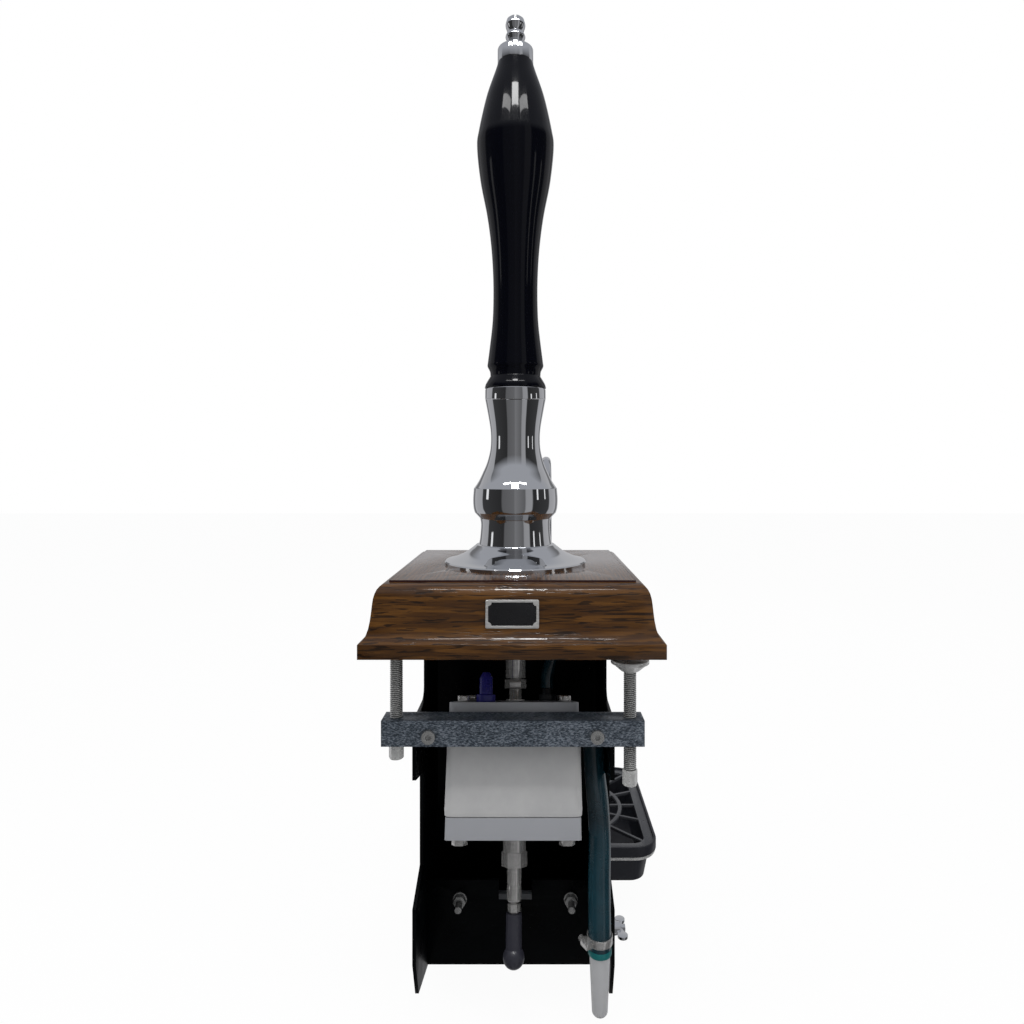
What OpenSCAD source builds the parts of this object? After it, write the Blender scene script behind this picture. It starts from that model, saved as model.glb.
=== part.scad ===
// Clamp-on hand pump beer engine.
// Millimetres. Origin: centre of the plinth's underside, where it rests on the counter.
// +X is to the right of a customer who faces the badge, +Y points to the bar staff, +Z is up.

/* [Plinth] */
// Overall width and depth of the plinth at its lip
plinth_w = 228; // [200:1:260]
// Height of the plinth
plinth_h = 55.4; // [52:0.1:60]
// Height of the square lip at the foot of the moulding
lip_h = 11; // [8:0.5:13]
// How far the lip stands out from the edge of the flat top
moulding_w = 20.3; // [16:0.1:24]
// Thickness of the top board
board_t = 25; // [22:0.5:27]
// Depth of the small step between the top and the moulding
quirk_h = 1.4; // [0.8:0.1:2.4]

/* [Badge] */
// Width of the badge
badge_w = 40; // [30:1:60]
// Height of the badge
badge_h = 21; // [16:0.5:22]
// Thickness of the badge
badge_t = 2.4; // [1.6:0.1:4]
// Width of the polished rim of the badge
badge_rim_w = 2; // [1.2:0.1:3]

/* [Vase] */
// Radius of the foot flange of the vase
vase_foot_r = 63; // [61:0.5:70]
// Largest radius of the ball of the vase
vase_ball_r = 37.9; // [36:0.1:42]
// Smallest radius of the neck of the vase
vase_waist_r = 21.9; // [20:0.1:24]
// Radius of the mouth of the vase
vase_mouth_r = 27; // [25:0.1:30]
// Height of the vase above the plinth
vase_h = 146.3; // [140:0.1:160]
// Wall of the vase
vase_wall = 4; // [3:0.5:5]
// Width of the slot in the back of the vase
vase_slot_w = 18; // [15:0.5:22]

/* [Handle] */
// Height of the polished ferrule
ferrule_h = 9.9; // [8:0.1:16]
// Radius of the ferrule
ferrule_r = 27.2; // [26:0.1:30]
// Length of the turned grip
grip_l = 292; // [260:1:320]
// Largest radius of the grip
grip_swell_r = 34.4; // [31:0.1:38]
// Smallest radius of the grip's shaft
grip_waist_r = 19.8; // [17:0.1:22]
// Height of the collar under the finial
collar_h = 13; // [9:0.5:18]
// Radius of the collar under the finial
collar_r = 16; // [14:0.1:18]
// Radius of the ball of the finial
finial_r = 8.9; // [7.5:0.1:11]
// Diameter of the tie rod in the handle
tie_rod_d = 10; // [8:0.5:12]
// How far the handle pulls towards the bar staff, in degrees
pull_angle = 60; // [50:1:60]

/* [Lever] */
// Height of the pivot above the counter
pivot_z = 30; // [28:0.5:31]
// Diameter of the pivot pin
pivot_pin_d = 10; // [8:0.5:12]
// Outer radius of the lever's boss
boss_r = 14; // [12.5:0.5:15]
// Thickness of the lever plate
lever_t = 10; // [8:0.5:11]
// Width of the lever bar in the vase
lever_w = 10; // [9:0.5:11]
// Half the width of the lever's arm
arm_half_w = 9.4; // [8.6:0.2:10]
// Diameter of the clevis pin
clevis_pin_d = 8; // [6:0.5:8]
// Thickness of each ear of the pivot bracket
bracket_t = 4; // [3:0.5:5]

/* [Body] */
// Width of the body over its side walls
body_w = 162; // [156:1:168]
// Thickness of the sheet
sheet_t = 3; // [2:0.5:3]
// Depth of the body behind the pivot
body_back_y = 64; // [62:1:68]
// How far the body reaches below the counter
body_drop = 306; // [300:1:320]
// Height of the top edge of the foot plate below the counter
foot_plate_top = 227.5; // [224:0.5:236]
// Width of the notch in the foot plate
notch_w = 29.5; // [26:0.5:34]

/* [Clamp] */
// Length of the clamp bar
bar_l = 203.5; // [200:0.5:220]
// Side of the square clamp bar
bar_side = 20; // [18:0.5:20]
// Depth of the bar's top face below the counter
bar_drop = 54; // [52:0.5:58]
// Diameter of the clamp screws
clamp_d = 10; // [8:1:12]
// Length of a clamp screw with its hexagon end
clamp_l = 94.5; // [92:0.5:104]
// Distance of each clamp screw from the middle
clamp_x = 91.7; // [90:0.1:93]
// Diameter of the swivel feet
clamp_foot_d = 30; // [26:0.5:31]
// Height of the swivel feet
clamp_foot_h = 9; // [7:0.5:11]
// How far the left foot stands above the counter line at rest
left_foot_top = 12; // [10:0.5:12]
// How far the right foot stands above the counter line at rest
right_foot_top = -9; // [-14:0.5:-4]

/* [Cylinder] */
// Lean of the cylinder towards the bar staff, in degrees
tilt = 18; // [17:0.1:19]
// Bore of the barrel
bore_d = 75; // [70:0.5:76]
// Wall of the barrel
barrel_wall = 5; // [3:0.5:5]
// Length of the barrel
barrel_l = 77.7; // [75:0.1:79]
// Width of the end plates
plate_w = 107; // [105:0.5:109]
// Thickness of the bottom plate
bottom_plate_t = 16; // [14:0.5:17]
// Thickness of the top plate
top_plate_t = 8.2; // [7:0.1:9]
// Distance from the ball joint to the bottom plate at rest
ball_to_plate = 94; // [93:0.1:95]
// How far the jacket stands out past the end plates
jacket_proud = 1; // [0.5:0.1:2]
// Distance of the tie bolts from the cylinder axis
tie_offset = 42.5; // [41:0.5:43.5]
// Diameter of the tie bolts
tie_d = 6; // [5:0.5:6]

/* [Piston] */
// Diameter of the piston rod
rod_d = 12; // [10:0.5:12]
// Height of the piston
piston_h = 36; // [30:0.5:37]
// Radial running clearance of the piston
piston_clear = 0.08; // [0.05:0.01:0.1]
// Diameter of the socket of the rod end
rod_end_d = 17.5; // [16:0.5:20]
// Diameter of the ball of the ball stud
stud_ball_d = 11; // [9:0.5:12]

/* [Hoses] */
// Outer diameter of the inlet hose
hose_d = 18; // [16:0.5:18]
// Length of the pale tail under the inlet hose
tail_l = 48; // [40:1:60]
// Outer diameter of the outlet hose
outlet_d = 12; // [10:0.5:13]

/* [Swan neck] */
// Diameter of the swan neck tube
neck_d = 9.6; // [8:0.1:10]
// Distance of the swan neck to the right of the middle
neck_x = 29.6; // [28:0.1:32]
// Distance of the riser behind the pivot
neck_y = 66; // [65:0.5:70]
// Radius of the bend of the swan neck
neck_bend_r = 32; // [28:0.5:34]
// Height of the top of the swan neck above the counter
neck_top = 152; // [140:0.5:154]
// Height of the lower end of the sparkler above the counter
spout_end = 8; // [2:0.5:20]

/* [Drip tray] */
// Width of the drip tray over its rim
tray_w = 182; // [170:1:200]
// Depth of the drip tray over its rim
tray_depth = 188; // [170:1:210]
// Height of the drip tray
tray_h = 40; // [34:0.5:46]
// Depth of the tray's rim below the counter
tray_drop = 243; // [238:0.5:250]
// Corner radius of the tray's rim
tray_corner_r = 25; // [20:0.5:30]
// How far the tray's foot is drawn in on each side
tray_draft = 7; // [4:0.5:10]
// Wall of the tray
tray_wall = 2.5; // [2:0.1:3]
// Number of spokes in the grille
spoke_count = 16; // [12:2:24]
// Diameter of the wire that carries the tray
wire_d = 4; // [3:0.5:5]

/* [Hidden] */

$fn = 64;
run_clear = 0.05;
slip_clear = 0.3;

// Colours as the photograph shows them
oak = [0.26, 0.15, 0.07];
chrome = [0.78, 0.78, 0.8];
zinc = [0.55, 0.58, 0.62];
steel = [0.62, 0.62, 0.64];
black_coat = [0.06, 0.07, 0.08];
acetal = [0.85, 0.86, 0.88];
teal = [0.1, 0.25, 0.3];

// Plinth
half_w = plinth_w / 2;
top_half = half_w - moulding_w;
board_z = plinth_h - board_t;

// Vase and handle
seam_z = plinth_h + vase_h;
seam_r = seam_z - pivot_z;
ferrule_top = seam_z + ferrule_h;
grip_top = ferrule_top + grip_l;
slot_clear = 1.5;
opening_half = 22;
opening_front = 17;

// Body
wall_in = body_w / 2 - sheet_t;
wall_out = body_w / 2;
neck_front = -9;
bay_front = -31.5;
bar_back = -69;
foot_plate_y = -4;
flange_w = 25;
bar_bolt_x = 65;
ear_bottom = bar_drop + 55;

// Cylinder. Local z runs up its axis from the ball joint, local y to the bar staff.
ball_y = -62.8;
ball_z = -254.6;
rise = pivot_z - ball_z;
foot_s = -ball_y * sin(tilt) + rise * cos(tilt);
drive_arm = rise * sin(tilt) + ball_y * cos(tilt);
slot_trim = 0.975;
stroke = 2 * drive_arm * tan(pull_angle / 2) * slot_trim;
pin_s = foot_s + stroke / 2;
barrel_s = ball_to_plate + bottom_plate_t;
top_plate_s = barrel_s + barrel_l;
top_s = top_plate_s + top_plate_t;
bore_r = bore_d / 2;
barrel_r = bore_r + barrel_wall;
jacket_half = plate_w / 2 + jacket_proud;
gland_r = 9.7;
gland_l = 17.7;
gland_nut_h = 11;
gland_nut_af = 19;
lock_nut_s = 32;
lock_nut_h = 6;
rod_s = 39.6;
piston_s = barrel_s + 3.4;

// Drive stack on the top plate
stud_disc_r = 8.4;
stud_disc_h = 1.8;
stud_hex_af = 9.4;
stud_hex_h = 8;
drive_nut_af = 17;
drive_nut_h = 7.8;
drive_nut_s = top_s + stud_disc_h + stud_hex_h + 1.1;
sleeve_s = drive_nut_s + drive_nut_h + 1;
sleeve_r = 8.9;
fork_half = 9.5;
ear_reach = 9;
ear_gap = lever_t / 2 + 0.5;
fork_base_s = pin_s - 20;

// Ports on the cylinder
inlet_s = top_plate_s - 12.5;
inlet_q = -12;
elbow_x = 68;
outlet_q = 38;

// Inlet hose: route from the elbow's barb to the tail
hose_route = [
    [68, -23.8, -95.7], [68, -27.2, -106.1], [68.2, -31.4, -115.9], [68.8, -37, -125.8],
    [69.6, -43.5, -136], [70, -50.5, -147.5], [70, -57, -160], [69.5, -62.5, -173],
    [68.8, -67, -186.5], [68.5, -71, -200], [68.4, -74, -214], [68.3, -76, -227],
    [68.3, -76, -237]
];
hose_sides = 12;

// Outlet hose: route from the top plate to the foot of the swan neck
outlet_route = [
    [29.6, 37.4, -69.1], [29.6, 40.7, -59], [32.5, 44, -48.5], [36, 48, -36], [35.2, 53, -23],
    [31.8, 60.5, -12.5], [29.6, 66, -5], [29.6, 66, 4]
];

// Drip tray
tray_x = 53;
tray_gap = 12;
tray_y = body_back_y + tray_gap + tray_depth / 2;
rim_z = -tray_drop;
rim_h = 10;
rim_over = 5;
wing_y = -16;
wing_z = rim_z - 19;
wing_d = 6;
tray_travel = 15;
grille_t = 3;
grille_drop = 2;

// Shapes that several pieces share

function bez(p, t) = pow(1 - t, 3) * p[0] + 3 * t * pow(1 - t, 2) * p[1]
    + 3 * t * t * (1 - t) * p[2] + pow(t, 3) * p[3];

function curve_point(p, i, t) =
    let (a = p[max(i - 1, 0)], b = p[i], c = p[i + 1], d = p[min(i + 2, len(p) - 1)])
    0.5 * (2 * b + (c - a) * t + (2 * a - 5 * b + 4 * c - d) * t * t
    + (3 * b - a - 3 * c + d) * t * t * t);

// A smooth curve through the stations of an outline
function smooth(p, steps) = [
    for (i = [0 : len(p) - 2], k = [0 : steps - 1]) curve_point(p, i, k / steps),
    p[len(p) - 1]
];

module tilted(s = 0) {
    translate([0, ball_y, ball_z]) rotate([-tilt, 0, 0]) translate([0, 0, s]) children();
}

module hex(af, h) {
    cylinder(d = af / cos(30), h = h, $fn = 6);
}

module along_x(l, r) {
    rotate([0, 90, 0]) cylinder(r = r, h = l);
}

// Stands a cylinder along +Y
module along_y(l, r) {
    rotate([-90, 0, 0]) cylinder(r = r, h = l);
}

module tube(r_out, r_in, h) {
    difference() {
        cylinder(r = r_out, h = h);
        translate([0, 0, -1]) cylinder(r = r_in, h = h + 2);
    }
}

module block(x0, x1, y0, y1, z0, z1) {
    translate([x0, y0, z0]) cube([x1 - x0, y1 - y0, z1 - z0]);
}

// Extrudes an outline drawn in Y and Z along X, between two x values
module yz_plate(x0, x1) {
    translate([x0, 0, 0]) rotate([90, 0, 90]) linear_extrude(height = x1 - x0) children();
}

module rounded(w, d, r) {
    square([w - 2 * r, d], center = true);
    square([w, d - 2 * r], center = true);
    for (sx = [-1, 1], sy = [-1, 1])
        translate([sx * (w / 2 - r), sy * (d / 2 - r)]) circle(r = r);
}

// A hose swept along its route, with a flat ring of sides at each point
function unit(v) = v / norm(v);
function ring_dir(p, i) = unit(p[min(i + 1, len(p) - 1)] - p[max(i - 1, 0)]);

module swept(p, d, sides) {
    last = len(p) - 1;
    rings = [
        for (i = [0 : last])
            let (
                dir = ring_dir(p, i),
                side = unit(cross(dir, [0, 1, 0])),
                up = cross(side, dir)
            )
            for (k = [0 : sides - 1])
                p[i] + d / 2 * (cos(360 * k / sides) * side + sin(360 * k / sides) * up)
    ];
    walls = [
        for (i = [0 : last - 1], k = [0 : sides - 1])
            let (a = i * sides + k, b = i * sides + (k + 1) % sides)
            each [[a, b, b + sides], [a, b + sides, a + sides]]
    ];
    first_cap = [for (k = [1 : sides - 2]) [0, k + 1, k]];
    base = last * sides;
    last_cap = [for (k = [1 : sides - 2]) [base, base + k, base + k + 1]];
    polyhedron(points = rings, faces = concat(walls, first_cap, last_cap));
}

// Plinth: a board framed by four mitred ogee rails

module moulding_outline() {
    rise_h = plinth_h - quirk_h - lip_h;
    shoulder = [[0.03, 1], [0.4, 0.99], [0.52, 0.85], [0.56, 0.64]];
    cove = [[0.56, 0.64], [0.62, 0.36], [0.66, 0.05], [1, 0]];
    steps = 6;
    curve = concat(
        [for (i = [0 : steps]) bez(shoulder, i / steps)],
        [for (i = [1 : steps]) bez(cove, i / steps)]
    );
    polygon(concat(
        [[0, 0], [0, plinth_h]],
        [[0.03 * moulding_w, plinth_h]],
        [for (c = curve) [c[0] * moulding_w, lip_h + c[1] * rise_h]],
        [[moulding_w, 0]]
    ));
}

module rail(turn) {
    rotate([0, 0, turn]) difference() {
        intersection() {
            translate([half_w, -top_half, 0]) rotate([90, 0, -90])
                linear_extrude(height = plinth_w) moulding_outline();
            linear_extrude(height = plinth_h) polygon([
                [-top_half, -top_half], [top_half, -top_half], [half_w, -half_w], [-half_w, -half_w]
            ]);
        }
        rotate([0, 0, -turn]) clamp_recesses();
    }
}

// Routed clearance for the clamp feet, which can rise above the counter line
module clamp_recesses() {
    for (sx = [-1, 1])
        translate([sx * clamp_x, bar_back - bar_side / 2, -1])
            cylinder(d = clamp_foot_d + 1, h = 1 + left_foot_top + 1.5);
}

module plinth_front_rail() {
    color(oak) difference() {
        rail(0);
        badge_seat(0);
    }
}

module plinth_right_rail() {
    color(oak) rail(90);
}

module plinth_rear_rail() {
    color(oak) rail(180);
}

module plinth_left_rail() {
    color(oak) rail(270);
}

module lever_sweep(half_x) {
    edge = lever_w / 2 + slot_clear;
    nose = [edge * cos(pull_angle), pivot_z - edge * sin(pull_angle)];
    reach = 260;
    tip = nose + reach * [sin(pull_angle), cos(pull_angle)];
    yz_plate(-half_x, half_x)
        polygon([nose, tip, [tip[0], seam_z + 20], [-edge, seam_z + 20], [-edge, nose[1]]]);
}

module plinth_top_board() {
    color(oak) difference() {
        block(-top_half, top_half, -top_half, top_half, board_z, plinth_h);
        block(-opening_half, opening_half, -opening_front, 48, board_z - 1, plinth_h + 1);
        lever_sweep(vase_slot_w / 2);
        translate([neck_x, neck_y, board_z - 1]) cylinder(d = neck_d + 0.2, h = board_t + 2);
        screw_holes();
    }
}

// Badge: a blank plate on the front of the moulding

badge_tilt = 9;
badge_z = lip_h + 21;
badge_front = -half_w + moulding_w * 0.395;

module on_badge() {
    translate([0, badge_front, badge_z]) rotate([90 - badge_tilt, 0, 0]) children();
}

module badge_seat(grow) {
    on_badge() translate([0, 0, -badge_t]) linear_extrude(height = 3 * badge_t)
        rounded(badge_w + grow, badge_h + grow, 1);
}

module badge_rim() {
    color(chrome) on_badge() difference() {
        translate([0, 0, -badge_t]) linear_extrude(height = badge_t + 0.8)
            rounded(badge_w, badge_h, 1);
        translate([0, 0, -badge_t / 2]) linear_extrude(height = badge_t + 2) badge_window();
    }
}

module badge_window() {
    w = badge_w - 2 * badge_rim_w;
    h = badge_h - 2 * badge_rim_w;
    difference() {
        square([w, h], center = true);
        for (sx = [-1, 1], sy = [-1, 1])
            translate([sx * w / 2, sy * h / 2]) circle(r = 2.6);
    }
}

module badge_panel() {
    color("black") on_badge() translate([0, 0, -badge_t / 2])
        linear_extrude(height = badge_t / 2 + 0.3) badge_window();
}

// Vase: a slotted casting, its mouth cut to a cylinder about the pivot

module vase_outline(shrink, most) {
    foot = plinth_h;
    lower = smooth([
        [vase_foot_r - 8, foot + 5.1], [45, foot + 9.6], [38, foot + 14.6], [34.6, foot + 17.1]
    ], 3);
    stem = smooth([
        [vase_ball_r - 5.4, foot + 17.6], [vase_ball_r - 6.4, foot + 24],
        [vase_ball_r - 7.1, foot + 34.6], [vase_ball_r - 6.2, foot + 40.6]
    ], 3);
    ball = smooth([
        [vase_ball_r - 2.1, foot + 45.6], [vase_ball_r - 0.3, foot + 51], [vase_ball_r, foot + 57.6],
        [vase_ball_r - 0.8, foot + 67.6], [vase_ball_r - 3.3, foot + 73.1]
    ], 4);
    neck = smooth([
        [29.3, foot + 81], [25, foot + 88.9], [vase_waist_r + 0.7, foot + 99.6],
        [vase_waist_r, foot + 110], [vase_waist_r + 0.6, foot + 121],
        [24.6, foot + vase_h - 12.7], [vase_mouth_r, foot + vase_h]
    ], 3);
    side = concat([[vase_foot_r, foot], [vase_foot_r, foot + 2.6]], lower, stem, ball, neck);
    polygon(concat(
        [[0, foot]],
        [for (p = side) [min(p[0] - shrink, most), p[1]]],
        [[0, foot + vase_h]]
    ));
}

module column_vase() {
    color(chrome) difference() {
        intersection() {
            rotate_extrude($fn = 96) vase_outline(0, 100);
            translate([-100, 0, pivot_z]) along_x(200, seam_r);
        }
        translate([0, 0, -1]) rotate_extrude($fn = 96) vase_outline(vase_wall, 30);
        translate([0, 0, 1]) rotate_extrude($fn = 96) vase_outline(vase_wall, 30);
        lever_sweep(vase_slot_w / 2);
        vase_bolt_holes();
    }
}

// Screws that hold the vase, the pivot bracket and the body under the board

vase_bolt_r = 52;
vase_bolt_angles = [30, 150, 210, 330];
screw_d = 5;
bracket_half = 40;
bracket_screw_y = [-22, 40];
flange_screw_y = [4, 46];
flange_screw_x = wall_in - 8;

module vase_bolt_holes() {
    for (a = vase_bolt_angles) rotate([0, 0, a])
        translate([vase_bolt_r, 0, plinth_h - 1]) cylinder(d = screw_d, h = 5);
}

module screw_holes() {
    for (a = vase_bolt_angles) rotate([0, 0, a])
        translate([vase_bolt_r, 0, board_z - 1]) cylinder(d = screw_d, h = board_t + 2);
    for (sx = [-1, 1]) {
        for (y = bracket_screw_y) translate([sx * (bracket_half - 10), y, board_z - 1])
            cylinder(d = screw_d, h = 16);
        for (y = flange_screw_y) translate([sx * flange_screw_x, y, board_z - 1])
            cylinder(d = screw_d, h = 16);
    }
}

module screw(z_head, l) {
    translate([0, 0, z_head]) cylinder(d = screw_d, h = l);
    translate([0, 0, z_head - 3]) difference() {
        cylinder(d = 9, h = 3);
        translate([0, 0, -1]) hex(4, 2.6);
    }
}

module plinth_screws() {
    color(steel) {
        for (a = vase_bolt_angles) rotate([0, 0, a])
            translate([vase_bolt_r, 0, 0]) screw(board_z, board_t + 4);
        for (sx = [-1, 1]) {
            for (y = bracket_screw_y) translate([sx * (bracket_half - 10), y, 0])
                screw(board_z - bracket_t, bracket_t + 15);
            for (y = flange_screw_y) translate([sx * flange_screw_x, y, 0])
                screw(board_z - sheet_t, sheet_t + 15);
        }
    }
}

// Handle: it turns about the pivot, so its foot is cut to a cylinder about the pivot

seam_clear = 0.3;
spigot_d = 12;
spigot_z = seam_z - 11;

module handle_ferrule() {
    color(chrome) difference() {
        translate([0, 0, seam_z - 4]) cylinder(r = ferrule_r, h = ferrule_h + 4);
        translate([-50, 0, pivot_z]) along_x(100, seam_r + seam_clear);
        translate([0, 0, seam_z - 6]) cylinder(d = spigot_d, h = ferrule_h + 8);
        difference() {
            translate([0, 0, ferrule_top - 1.2]) cylinder(r = ferrule_r + 1, h = 2);
            translate([0, 0, ferrule_top - 1.3]) cylinder(r1 = ferrule_r, r2 = ferrule_r - 1.3, h = 1.3);
        }
    }
}

module grip_outline() {
    z = ferrule_top;
    base = smooth([[ferrule_r + 0.3, z + 0.6], [26.4, z + 4.4], [22.6, z + 10.8]], 4);
    bead = smooth([[22.5, z + 11.4], [22.9, z + 15.4], [25, z + 19.8], [24.9, z + 22.6]], 3);
    shaft = smooth([
        [23.3, z + 35], [grip_waist_r + 0.8, z + 59], [grip_waist_r, z + 83],
        [grip_waist_r + 0.5, z + 107], [grip_waist_r + 2.3, z + 131],
        [grip_swell_r - 8.9, z + 156], [grip_swell_r - 3.1, z + 186],
        [grip_swell_r, z + 215.6], [grip_swell_r - 1.6, z + 230.6],
        [grip_swell_r - 8.3, z + 260.4], [18.1, z + 284.2], [collar_r - 0.3, z + grip_l]
    ], 3);
    polygon(concat([[0, z]], [[ferrule_r - 0.4, z]], base, bead, shaft, [[0, z + grip_l]]));
}

module handle_grip() {
    color([0.06, 0.07, 0.1]) difference() {
        rotate_extrude($fn = 96) grip_outline();
        translate([0, 0, ferrule_top - 1]) cylinder(d = tie_rod_d, h = grip_l + 2);
    }
}

module finial_collar() {
    color(chrome) difference() {
        union() {
            translate([0, 0, grip_top]) cylinder(r = collar_r, h = collar_h - 1.2);
            translate([0, 0, grip_top + collar_h - 1.2])
                cylinder(r1 = collar_r, r2 = collar_r - 1.2, h = 1.2);
        }
        translate([0, 0, grip_top - 1]) cylinder(d = tie_rod_d, h = collar_h + 2);
    }
}

// Tie rod: it screws into the lever and ends in the turned finial
module handle_tie_rod() {
    z = grip_top + collar_h;
    neck_r = finial_r - 1.2;
    color(chrome) {
        translate([0, 0, ferrule_top]) cylinder(d = tie_rod_d, h = grip_l + collar_h + 1);
        translate([0, 0, ferrule_top - 9.5]) cylinder(d = tie_rod_d - 2, h = 10);
        difference() {
            rotate_extrude() polygon(concat(
                [[0, z], [neck_r, z], [neck_r, z + 7]],
                smooth([[neck_r, z + 8], [finial_r, z + 11], [neck_r, z + 14.4]], 4),
                [[neck_r - 1.2, z + 15.7]],
                smooth([[neck_r, z + 17], [finial_r, z + 21.4], [neck_r, z + 26.4]], 4),
                [[neck_r - 2.4, z + 28.4], [0, z + 28.4]]
            ));
            block(-1, 1, -12, 12, z + 24.4, z + 30);
        }
    }
}

// Lever: a cranked plate on two bushes, slotted for the clevis pin

slot_half = clevis_pin_d / 2 + 0.7;
slot_near = drive_arm - 1.6;
slot_far = norm([drive_arm, stroke / 2]) + 1.4;
arm_rest = pull_angle / 2 - tilt;
arm_l = slot_far + slot_half + 3.6;

module arm_outline() {
    difference() {
        union() {
            translate([0, -arm_half_w]) square([arm_l - arm_half_w, 2 * arm_half_w]);
            translate([arm_l - arm_half_w, 0]) circle(r = arm_half_w);
        }
        translate([slot_near, 0]) circle(r = slot_half);
        translate([slot_far, 0]) circle(r = slot_half);
        translate([slot_near, -slot_half]) square([slot_far - slot_near, 2 * slot_half]);
    }
}

module lever() {
    boss_half = 10.5;
    color(steel) difference() {
        union() {
            translate([-boss_half, 0, pivot_z]) along_x(2 * boss_half, boss_r);
            block(-lever_t / 2, lever_t / 2, -lever_w / 2, lever_w / 2, pivot_z, spigot_z);
            translate([0, 0, spigot_z - 6]) cylinder(d = spigot_d, h = ferrule_top - spigot_z + 6);
            yz_plate(-lever_t / 2, lever_t / 2)
                translate([0, pivot_z]) rotate(arm_rest) arm_outline();
        }
        translate([-20, 0, pivot_z]) along_x(40, pivot_pin_d / 2 + 2);
        translate([0, 0, ferrule_top - 10]) cylinder(d = tie_rod_d - 2, h = 11);
    }
}

module pivot_bushes() {
    color([0.7, 0.5, 0.25]) for (side = [0, 180]) rotate([0, 0, side])
        translate([0, 0, pivot_z]) difference() {
            union() {
                translate([1, 0, 0]) along_x(10, pivot_pin_d / 2 + 2);
                translate([10.5, 0, 0]) along_x(1.2, pivot_pin_d / 2 + 3.6);
            }
            along_x(20, pivot_pin_d / 2 + run_clear);
        }
}

module pivot_pin() {
    color(steel) {
        translate([-20, 0, pivot_z]) along_x(40, pivot_pin_d / 2);
        translate([-20, 0, pivot_z]) along_x(3.5, pivot_pin_d / 2 + 1.5);
        translate([16.5, 0, pivot_z]) along_x(1.5, pivot_pin_d / 2 + 1.5);
    }
}

bracket_in = 12;

module pivot_bracket() {
    color(zinc) difference() {
        union() {
            block(-bracket_half, bracket_half, -30, 52, board_z - bracket_t, board_z);
            for (sx = [-1, 1]) {
                translate([sx * (bracket_in + bracket_t / 2) - bracket_t / 2, 0, pivot_z])
                    along_x(bracket_t, 12);
                translate([sx * (bracket_in + bracket_t / 2), 0, 0])
                    block(-bracket_t / 2, bracket_t / 2, -12, 12, board_z - bracket_t - 6, pivot_z);
            }
        }
        block(-bracket_in, bracket_in, -opening_front, 48, 0, plinth_h);
        translate([-30, 0, pivot_z]) along_x(60, pivot_pin_d / 2);
        for (x = [-bracket_in - bracket_t - 6, bracket_in + bracket_t])
            translate([x, 0, pivot_z]) along_x(6, pivot_pin_d / 2 + 2);
        for (sx = [-1, 1], y = bracket_screw_y)
            translate([sx * (bracket_half - 10), y, 0]) cylinder(d = screw_d, h = 40);
    }
}

// Body: one folded and welded sheet, open to the front and below

module wall_outline() {
    fillet_r = 10;
    ear_top = bar_drop + 8;
    difference() {
        polygon([
            [neck_front, board_z], [body_back_y, board_z], [body_back_y, -body_drop],
            [foot_plate_y, -body_drop + 3], [-55, -body_drop + 16],
            [bar_back, -body_drop + 49], [bar_back, -foot_plate_top + 15],
            [bay_front, -foot_plate_top + 29.5], [bay_front, -ear_bottom - 10],
            [bar_back, -ear_bottom], [bar_back, -ear_top], [neck_front - fillet_r, -ear_top],
            [neck_front, -ear_top + fillet_r]
        ]);
        translate([neck_front - fillet_r, -ear_top + fillet_r]) circle(r = fillet_r);
    }
}

module body_channel() {
    color(black_coat) difference() {
        union() {
            for (x = [-wall_out, wall_in]) yz_plate(x, x + sheet_t) wall_outline();
            block(-wall_out, wall_out, body_back_y - sheet_t, body_back_y, -body_drop, board_z);
            for (sx = [-1, 1]) {
                translate([sx * (wall_out - 9), 0, 0])
                    block(-9, 9, neck_front, body_back_y, board_z - sheet_t, board_z);
                translate([sx * (wall_out - flange_w / 2), 0, 0])
                    block(-flange_w / 2, flange_w / 2, bar_back, bar_back + sheet_t,
                        -bar_drop - bar_side - 7, -bar_drop - 2);
            }
        }
        // notch for the outlet hose, bolt holes and the slot for the tray's wing screw
        block(neck_x - 13, neck_x + 13, body_back_y - 10, body_back_y + 1, -30, board_z + 1);
        for (sx = [-1, 1]) {
            translate([sx * bar_bolt_x, bar_back - 1, -bar_drop - bar_side * 0.6]) along_y(6, 3);
            for (y = flange_screw_y) translate([sx * flange_screw_x, y, board_z - 6])
                cylinder(d = screw_d, h = 10);
        }
        for (z = [wing_z - tray_travel, wing_z + tray_travel])
            translate([wall_in - 1, wing_y, z]) along_x(6, wing_d / 2 + 0.3);
        block(wall_in - 1, wall_out + 1, wing_y - wing_d / 2 - 0.3, wing_y + wing_d / 2 + 0.3,
            wing_z - tray_travel, wing_z + tray_travel);
    }
}

foot_bolt_x = 49.5;
foot_bolt_z = -foot_plate_top - 16.5;
notch_depth = 13.5;

module foot_plate() {
    y0 = foot_plate_y;
    color(black_coat) difference() {
        union() {
            block(-wall_in, wall_in, y0, y0 + sheet_t, -body_drop + 3, -foot_plate_top);
            block(-wall_in, wall_in, y0, body_back_y - sheet_t, -body_drop + 3, -body_drop + 6);
        }
        block(-notch_w / 2, notch_w / 2, y0 - 1, y0 + sheet_t + 1,
            -foot_plate_top - notch_depth, -foot_plate_top + 1);
        for (sx = [-1, 1]) translate([sx * foot_bolt_x, y0 - 1, foot_bolt_z]) along_y(8, 3);
        translate([0, y0 - 1, ball_z]) along_y(8, 4);
    }
}

module foot_plate_bolts() {
    y0 = foot_plate_y;
    color(steel) for (sx = [-1, 1]) translate([sx * foot_bolt_x, 0, foot_bolt_z]) {
        translate([0, y0 - 17, 0]) along_y(17 + sheet_t, 3);
        translate([0, y0 - 1.4, 0]) along_y(1.4, 6.2);
        translate([0, y0 - 6.4, 0]) rotate([-90, 0, 0]) hex(10, 5);
        translate([0, y0 + sheet_t, 0]) rotate([-90, 0, 0]) hex(10, 4);
    }
}

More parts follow.
